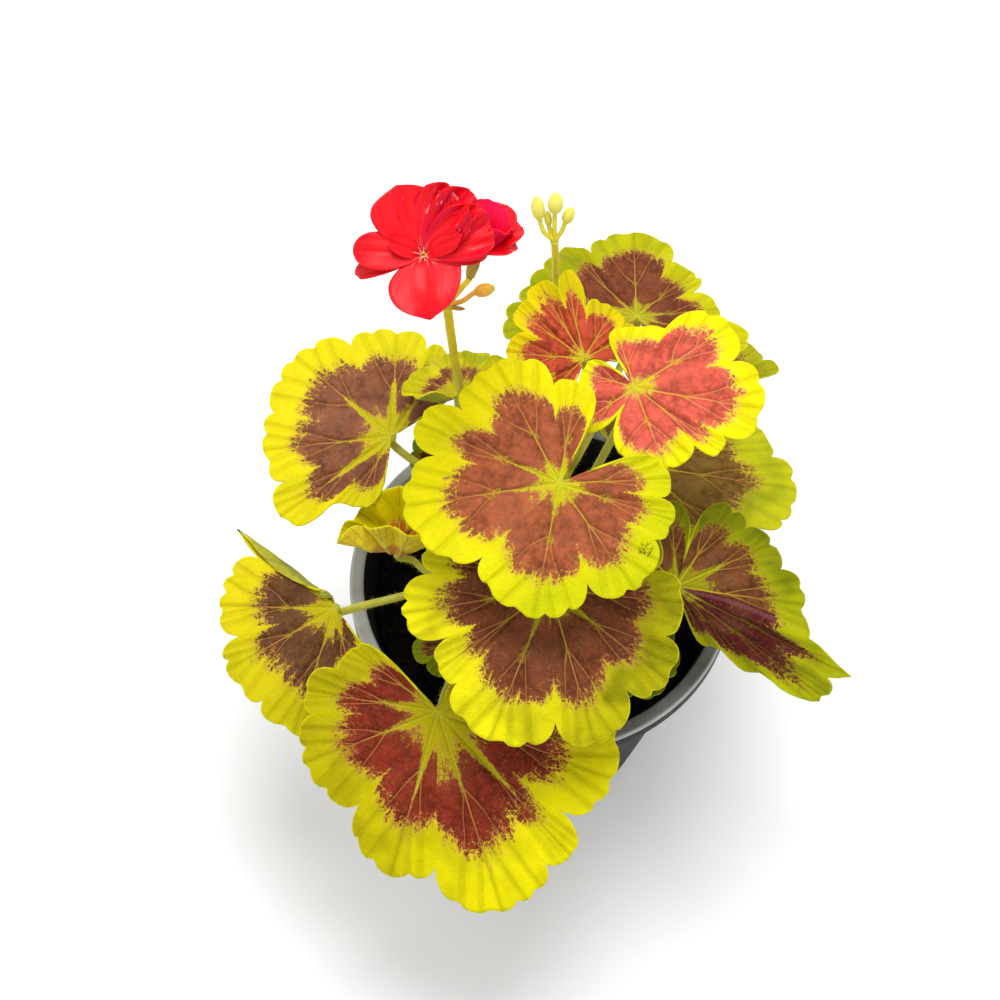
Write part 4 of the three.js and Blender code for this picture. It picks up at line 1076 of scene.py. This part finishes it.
# sepals is how far the calyx opens, in degrees. A petal's turn is seen from the bloom's front, with 0 to the
# right, and its spread is its angle from the bloom's axis. curl rolls its end back, tip draws the end out to
# a point, crumple is how strongly it is ruffled, and gloss how much painted pale sheen its creases have and
# how deep the painted shade in its folds is. shoulder is where it is widest, and skew moves that along one
# side.
BLOOMS = {
    "bloom_front": dict(
        throat=(-.028, .0007, .222), faces=(-.12, -.5, .86), pedicel=(-.0255, .0035, .209), sepals=58,
        petals=[
            dict(turn=110, spread=72, length=.0174, width=.0156, curl=12, tip=.05, shoulder=.66, skew=-.06),
            dict(turn=86, spread=75, length=.0164, width=.0116, curl=10, tip=.02, crumple=1.8, gloss=.3),
            dict(turn=70, spread=72, length=.0184, width=.0104, curl=6, crumple=3.0, gloss=1),
            dict(turn=50, spread=72, length=.0196, width=.0100, curl=8, crumple=3.4, gloss=1,
                 shoulder=.7),
            dict(turn=38, spread=66, length=.0176, width=.0080, curl=6, crumple=3.0, gloss=1),
            dict(turn=30, spread=78, length=.0188, width=.0090, curl=10, crumple=3.0, gloss=.5,
                 shoulder=.7),
            dict(turn=15, spread=80, length=.0184, width=.0100, curl=12, crumple=3.0, gloss=.3,
                 shoulder=.74),
            dict(turn=0, spread=84, length=.0164, width=.0056, curl=16, crumple=2.4, gloss=.3),
            dict(turn=176, spread=80, length=.0174, width=.0086, curl=14, crumple=1.3),
            dict(turn=194, spread=88, length=.0190, width=.0044, curl=52, crumple=1.6),
            dict(turn=277, spread=76, length=.0160, width=.0166, curl=16, tip=.06, shoulder=.42, skew=.12),
            dict(turn=20, spread=60, length=.0126, width=.0048, curl=4, tip=.06),
            dict(turn=160, spread=58, length=.0100, width=.0044, curl=4, tip=.06),
        ],
    ),
    "bloom_side": dict(
        throat=(-.0171, .0118, .2064), faces=(.25, .5, .8), pedicel=(-.0203, .006, .203), sepals=16,
        petals=[
            dict(turn=262, spread=9, length=.0155, width=.0118, curl=-10, gloss=.1),
            dict(turn=222, spread=26, length=.0160, width=.0120, curl=8, gloss=.3),
            dict(turn=165, spread=34, length=.0160, width=.0120, curl=12, crumple=1.5, gloss=.3),
            dict(turn=60, spread=26, length=.0150, width=.0120, curl=16),
            dict(turn=25, spread=45, length=.0138, width=.0120, curl=20),
            dict(turn=348, spread=66, length=.0112, width=.0110, curl=12),
            dict(turn=310, spread=30, length=.0125, width=.0110, curl=14),
            dict(turn=110, spread=20, length=.0130, width=.0100, curl=10, crumple=1.5),
        ],
    ),
}


def add_sepal(bm, base, out, side, length, width, spread, slot):
    """A pointed, cupped little leaf that starts along `out` and bends towards `side`."""
    before = set(bm.faces)
    made = bmesh.ops.create_grid(bm, x_segments=6, y_segments=12, size=1)["verts"]
    beside = out.cross(side).normalized()
    for corner in made:
        across, along = corner.co.x, (corner.co.y + 1) / 2
        wide = width / 2 * (0.5 + 1.3 * along) * max(0, 1 - along ** 1.6) ** 0.8
        lean = math.radians(spread) * along
        cup = 0.25 * width * across ** 2 * (1 - along)
        sideways = length * along * math.sin(lean / 2) - cup
        middle = base + out * length * along * math.cos(lean / 2) + side * sideways
        corner.co = middle + beside * across * wide
    bmesh.ops.remove_doubles(bm, verts=made, dist=1e-6)
    blades = [face for face in bm.faces if face not in before]
    bmesh.ops.solidify(bm, geom=blades, thickness=0.0002)
    blades = [face for face in bm.faces if face not in before]
    bmesh.ops.recalc_face_normals(bm, faces=blades)
    for face in blades:
        face.material_index = slot


def add_bud(bm, head, seat, tip, radius, via, slot):
    """A closed bud of five sepals on a curved pedicel that grows from the head of its stalk."""
    seat, tip = Vector(seat), Vector(tip)
    route = smooth_path([head, Vector(via), seat, seat.lerp(tip, 0.2)], 6)
    add_rod(bm, route, [BUD_PEDICEL_RADIUS] * len(route), 12, slot)
    outline = [(0, .12), (.03, .42), (.1, .64), (.22, .86), (.36, .98), (.5, 1), (.64, .93), (.77, .76),
               (.88, .5), (.95, .3), (.985, .16), (1, .03)]
    before = set(bm.verts)
    spine = [seat.lerp(tip, share) for share, _ in outline]
    radii = [radius * wide for _, wide in outline]
    frames = add_rod(bm, spine, radii, 20, slot)
    inverse = frames[5].inverted()
    for corner in bm.verts:
        if corner not in before:
            around = inverse @ corner.co
            beat = abs(math.sin(2.5 * math.atan2(around.y, around.x)))
            dent = 0.10 * (1 - beat) ** 3
            corner.co = frames[5] @ Vector((around.x * (1 - dent), around.y * (1 - dent), around.z))
    add_hairs(bm, frames[1:-1], radii[1:-1], BUD_HAIRS, 0.0009, slot)


def bloom_frame(bloom):
    """The bloom's own frame, which looks out along its last axis, and that axis."""
    out = Vector(bloom["faces"]).normalized()
    right = (Vector((1, 0, 0)) - out * out.x).normalized()
    turn = Matrix((right, out.cross(right), out)).transposed().to_4x4()
    return Matrix.Translation(bloom["throat"]) @ turn, out


stalk_bm = bmesh.new()
inside, clear = stem_joint(*FLOWER_STALK_JOINS)
stalk_route = smooth_path([inside, clear, *[Vector(place) for place in FLOWER_STALK]], 14)
head = stalk_route[-1]
stalk_radii = []
for place in stalk_route:
    foot, top = (place - stalk_route[0]).length, (place - head).length
    knuckle = 0.0006 * math.exp(-(foot / 0.004) ** 2) + 0.00045 * math.exp(-((top - 0.0008) / 0.0018) ** 2)
    stalk_radii.append(STALK_RADIUS - 0.0001 + knuckle)
stalk_frames = add_rod(stalk_bm, stalk_route, stalk_radii, 18)
add_hairs(stalk_bm, stalk_frames, stalk_radii, 700, 0.0011)
add_bud(stalk_bm, head, **SIDE_BUD, slot=1)
for place, width in BRACTS:
    way = Vector(place) - head
    add_sepal(stalk_bm, head, way.normalized(), Vector((0, 0, 1)), way.length, width, 30, 2)
for bloom in BLOOMS.values():
    frame_here, out = bloom_frame(bloom)
    base = Vector(bloom["throat"]) - out * (THROAT_DEPTH + CALYX_LENGTH)
    route = smooth_path([head, Vector(bloom["pedicel"]), base, base + out * 0.001], 8)
    radii = [PEDICEL_RADIUS + 0.0002 * math.exp(-step / 3) for step in range(len(route))]
    add_hairs(stalk_bm, add_rod(stalk_bm, route, radii, 14), radii, 110, 0.0009)
    tube = [0, .08, .2, .4, .6, .78, .9, 1, 1.15, 1.27]
    spine = [base + out * CALYX_LENGTH * share for share in tube]
    radii = [.0006, .0009, .0011, .0012, .0013, .0013, .0012, .0012, .0012, .0010]
    add_hairs(stalk_bm, add_rod(stalk_bm, spine, radii, 20, 2), radii, 90, 0.0009, 2)
    for number in range(SEPALS):
        side = frame_here.to_3x3() @ heading(360 / SEPALS * number)
        sepal_base = base + out * 0.0006 + side * 0.0010
        add_sepal(stalk_bm, sepal_base, out, side, SEPAL_LENGTH, SEPAL_WIDTH, bloom["sepals"], 2)

olive = Finish("olive stalk", roughness=0.5)
mottle = olive.noise(olive.stretch(olive.place(), 1, 1, 0.3), 500, 3, 0.6)
rise = olive.place().part("Z").rise(0.14, 0.21)
yellow_green = olive.mix(rise, rgb(220, 208, 14), rgb(240, 212, 0))
olive.feed("Base Color", olive.mix(mottle.rise(0.4, 0.7) * 0.6, yellow_green, rgb(200, 180, 0)))
olive.bump(mottle, 0.00008)
amber = Finish("amber bud", roughness=0.5)
mottle = amber.noise(amber.place(), 700, 2)
tip_share = amber.place().part("X").rise(-0.0150, -0.0122)
orange = amber.mix(mottle.rise(0.4, 0.65), rgb(240, 172, 34), rgb(250, 196, 60))
amber.feed("Base Color", amber.mix(tip_share * 0.8, orange, rgb(206, 196, 50)))
sepal_brown = Finish("olive brown sepals", roughness=0.55)
mottle = sepal_brown.noise(sepal_brown.place(), 600, 3, 0.6)
sepal_brown.feed("Base Color", sepal_brown.mix(
    mottle.rise(0.35, 0.7), rgb(166, 144, 30), rgb(190, 152, 50),
))
make_piece(stalk_bm, "hairy_flower_stalk", "flower_stalk", "stem", olive, amber, sepal_brown)


# Blooms: semi-double scarlet flowers, each of eight or more thin, ruffled petals round a short throat with
# pink filaments and tan anthers. The front one faces up, and the side one shows the backs of its petals.
PETAL = 0.00028
PETAL_START = 24
PETAL_ROWS = 26
PETAL_COLUMNS = 20
STAMENS = 10


def petal_swell(along, shoulder):
    """The petal's width at a share of its length: it opens to its shoulder, and rounds off to its tip."""
    if along < shoulder:
        return 0.15 + 0.85 * math.sin(math.pi / 2 * along / shoulder) ** 1.15
    return math.sqrt(max(0, 1 - ((along - shoulder) / (1 - shoulder)) ** 2.3))


def add_petal(
    bm, seed, place, turn, spread, length, width, curl, tip=.01, crumple=1, gloss=0, shoulder=.62, skew=0,
):
    """A grid from the throat to the petal's rim, with a crease down its middle and a ruffled edge."""
    start = min(PETAL_START, spread)
    lie = place @ Matrix.Rotation(math.radians(turn), 4, "Z")
    lie = lie @ Matrix.Rotation(math.radians(start - 90), 4, "Y")
    folds = [(0, 0.55 * length, 0.4 * length, -curl)]
    if spread > start:
        folds.append((0, 0.0012, 0.004, start - spread))
    before = set(bm.faces)
    made = bmesh.ops.create_grid(bm, x_segments=PETAL_COLUMNS, y_segments=PETAL_ROWS, size=1)["verts"]
    chart = bm.loops.layers.uv.get("petal") or bm.loops.layers.uv.new("petal")
    tone = bm.loops.layers.uv.get("tone") or bm.loops.layers.uv.new("tone")
    blades = [face for face in bm.faces if face not in before]
    for face in blades:
        for loop in face.loops:
            loop[chart].uv = (loop.vert.co.x + 3 * seed, 1 - ((1 - loop.vert.co.y) / 2) ** 1.7)
            loop[tone].uv = (gloss, loop.vert.co.x)
    for corner in made:
        across, along = corner.co.x, 1 - ((1 - corner.co.y) / 2) ** 1.7
        y = width / 2 * across * petal_swell(along, shoulder - skew * across)
        beside = 2 * y / width
        x = length * (0.04 + 0.95 * along + tip * along ** 4 * math.exp(-abs(y) / (0.14 * width)))
        ruffle = noise.noise(Vector((beside * 1.6, along * 1.2, 5.1 * seed))) * along ** 2
        frill = noise.noise(Vector((beside * 4.2, along * 2.1, 5.1 * seed + 40))) * along ** 3
        crease = math.exp(-(beside / 0.14) ** 2) * along * (1.2 - along)
        z = 0.05 * width * beside ** 2 * along
        z += width * crumple * (0.17 * ruffle + 0.06 * frill - 0.07 * crease)
        spot = Vector((x, y, z))
        for crease_line in folds:
            spot = fold(spot, *crease_line)
        corner.co = lie @ spot
    bmesh.ops.reverse_faces(bm, faces=blades)
    bmesh.ops.remove_doubles(bm, verts=made, dist=1e-6)


petal_red = Finish("scarlet petal", specular_ior_level=0.2)
chart = petal_red.chart("petal")
outward = chart.part("Y")
from_middle = abs(petal_red.chart("tone").part("Y"))
ribs = petal_red.noise(petal_red.stretch(chart, 11, 1.1, 1), 1, 3, 0.6)
soft = petal_red.noise(chart, 1.6, 2)
planes = petal_red.noise(petal_red.stretch(chart, 3.4, 0.7, 1), 1, 2)
# Painted light and shade: radial planes of lighter and darker red across the petal.
lit = petal_red.mix((soft * 0.4 + planes * 0.6).rise(0.40, 0.58), rgb(248, 0, 22), rgb(255, 24, 36))
# Painted sheen: lighter red on the raised ribs.
lit = petal_red.mix(ribs.rise(0.5, 0.75) * 0.2, lit, rgb(255, 50, 58))
gloss_share = petal_red.chart("tone").part("X")
# Painted shade: darker crimson in the folds, strongest on the petals with more gloss.
lit = petal_red.mix((1 - planes.rise(0.42, 0.52)) * (gloss_share * 0.7 + 0.2), lit, rgb(228, 2, 52))
# Painted shade: deeper red along the crease down the petal's middle and towards the throat.
lit = petal_red.mix((1 - from_middle.rise(0.0, 0.16)) * 0.8, lit, rgb(250, 0, 24))
lit = petal_red.mix(1 - outward.rise(0.0, 0.35), lit, rgb(250, 0, 26))
pink = (1 - outward.rise(0.06, 0.30)) * ribs.rise(0.50, 0.60)
lit = petal_red.mix(pink * 0.7, lit, rgb(255, 184, 170))
# Painted highlight: pale pink glints on the creases of the glossy petals, away from the throat.
glint = petal_red.noise(petal_red.stretch(chart, 4.5, 3.4, 1), 1, 3, 0.6, 1.4).rise(0.645, 0.69)
lit = petal_red.mix(glint * gloss_share * outward.rise(0.4, 0.6) * 0.8, lit, rgb(255, 190, 216))
petal_red.feed("Base Color", lit)
petal_red.feed("Roughness", 0.5 - ribs * 0.12)
petal_red.bump(ribs, 0.00006)
petal_back = Finish("back of petal", roughness=0.5, specular_ior_level=0.2)
ribs = petal_back.noise(petal_back.stretch(petal_back.chart("petal"), 11, 1.1, 1), 1, 3, 0.6)
petal_back.feed("Base Color", petal_back.mix(ribs.rise(0.3, 0.7), rgb(255, 0, 60), rgb(255, 20, 92)))
petal_back.bump(ribs, 0.00006)
filament = Finish("pink filaments", roughness=0.5)
veil = filament.noise(filament.place(), 900, 2)
filament.feed("Base Color", filament.mix(veil.rise(0.4, 0.6), rgb(252, 150, 140), rgb(255, 196, 180)))
anther = Finish("tan anthers", roughness=0.8)
pollen = anther.noise(anther.place(), 2500, 2)
anther.feed("Base Color", anther.mix(pollen.rise(0.4, 0.6), rgb(230, 150, 76), rgb(248, 192, 104)))

for number, (node, bloom) in enumerate(BLOOMS.items()):
    bloom_bm = bmesh.new()
    place, out = bloom_frame(bloom)
    for order, petal in enumerate(bloom["petals"]):
        add_petal(bloom_bm, number + order * 0.37 + 0.2, place, **petal)
    finishes = (petal_red, petal_back, filament, anther)
    flower = make_piece(bloom_bm, "ruffled_" + node, node, "petal", *finishes)
    body = flower.modifiers.new("thickness", "SOLIDIFY")
    body.thickness = PETAL
    body.offset = 0
    body.material_offset = 1
    settle(flower)
    heart = bmesh.new()
    heart.from_mesh(flower.data)
    throat = Vector(bloom["throat"])
    spine = [throat + out * share for share in (-.0012, -.0004, .0002, .0008, .0013, .0017)]
    add_rod(heart, spine, [.0010, .0012, .0013, .0012, .0009, .0003], 16, 3)
    for stamen in range(STAMENS):
        around = math.tau * stamen / STAMENS + chance.uniform(-0.3, 0.3)
        lean = math.radians(chance.uniform(30, 66))
        tall = chance.uniform(0.0020, 0.0036)
        way = place.to_3x3() @ Vector((
            math.sin(lean) * math.cos(around), math.sin(lean) * math.sin(around), math.cos(lean),
        ))
        tip = throat + out * 0.0008 + way * tall
        route = smooth_path([throat, throat + out * 0.0014 + way * 0.0008, tip], 4)
        add_rod(heart, route, [0.00012] * len(route), 6, 2)
        if stamen % 2 == 0:
            beside = way.cross(out).normalized() * 0.0004
            grain = throat + out * 0.0016 + way * 0.0007
            ends = [grain + beside * share for share in (-1, -0.5, 0.5, 1)]
            add_rod(heart, ends, [.0001, .00032, .00032, .0001], 8, 3)
    heart.to_mesh(flower.data)
    heart.free()
    flower.data.shade_smooth()


# Bud cluster: a young umbel on its own stalk behind the centre, with four closed, pale, hairy buds.
BUD_STALK = [(.003, .018, .130), (.003, .031, .139), (.003, .042, .149), (.003, .0465, .158),
             (.0023, .0425, .1745)]
BUD_STALK_JOINS = (92, .120)
BUD_STALK_RADIUS = 0.00092
BUDS = [
    dict(seat=(-.0014, .0445, .1800), tip=(-.0024, .0469, .1864), radius=.0017, via=(-.0003, .0431, .1770)),
    dict(seat=(.0023, .0451, .1820), tip=(.0025, .0468, .1878), radius=.0020, via=(.0023, .0436, .1785)),
    dict(seat=(.0049, .0444, .1790), tip=(.0066, .0458, .1834), radius=.0015, via=(.0039, .0434, .1765)),
    dict(seat=(.0009, .0446, .1775), tip=(.0004, .0466, .1812), radius=.0010, via=(.0015, .0434, .1760)),
]

cluster_bm = bmesh.new()
inside, clear = stem_joint(*BUD_STALK_JOINS)
bud_route = smooth_path([inside, clear, *[Vector(place) for place in BUD_STALK]], 12)
bud_head = bud_route[-1]
bud_radii = []
for place in bud_route:
    foot, top = (place - bud_route[0]).length, (place - bud_head).length
    knuckle = 0.0005 * math.exp(-(foot / 0.004) ** 2) + 0.0002 * math.exp(-(top / 0.002) ** 2)
    bud_radii.append(BUD_STALK_RADIUS + knuckle)
add_hairs(cluster_bm, add_rod(cluster_bm, bud_route, bud_radii, 16), bud_radii, 500, 0.0011)
for bud in BUDS:
    add_bud(cluster_bm, bud_head, **bud, slot=0)
bud_green = Finish("pale green buds", roughness=0.5)
mottle = bud_green.noise(bud_green.place(), 600, 3, 0.6)
rise = bud_green.place().part("Z")
upper_half = (rise + (mottle - 0.5) * 0.004).rise(0.176, 0.185)
pale = bud_green.mix(upper_half, rgb(240, 228, 40), rgb(255, 246, 108))
bud_green.feed("Base Color", bud_green.mix(mottle.rise(0.55, 0.75) * 0.3, pale, rgb(196, 200, 56)))
bud_green.bump(mottle, 0.00008)
make_piece(cluster_bm, "closed_bud_cluster", "bud_cluster", "bud", bud_green)
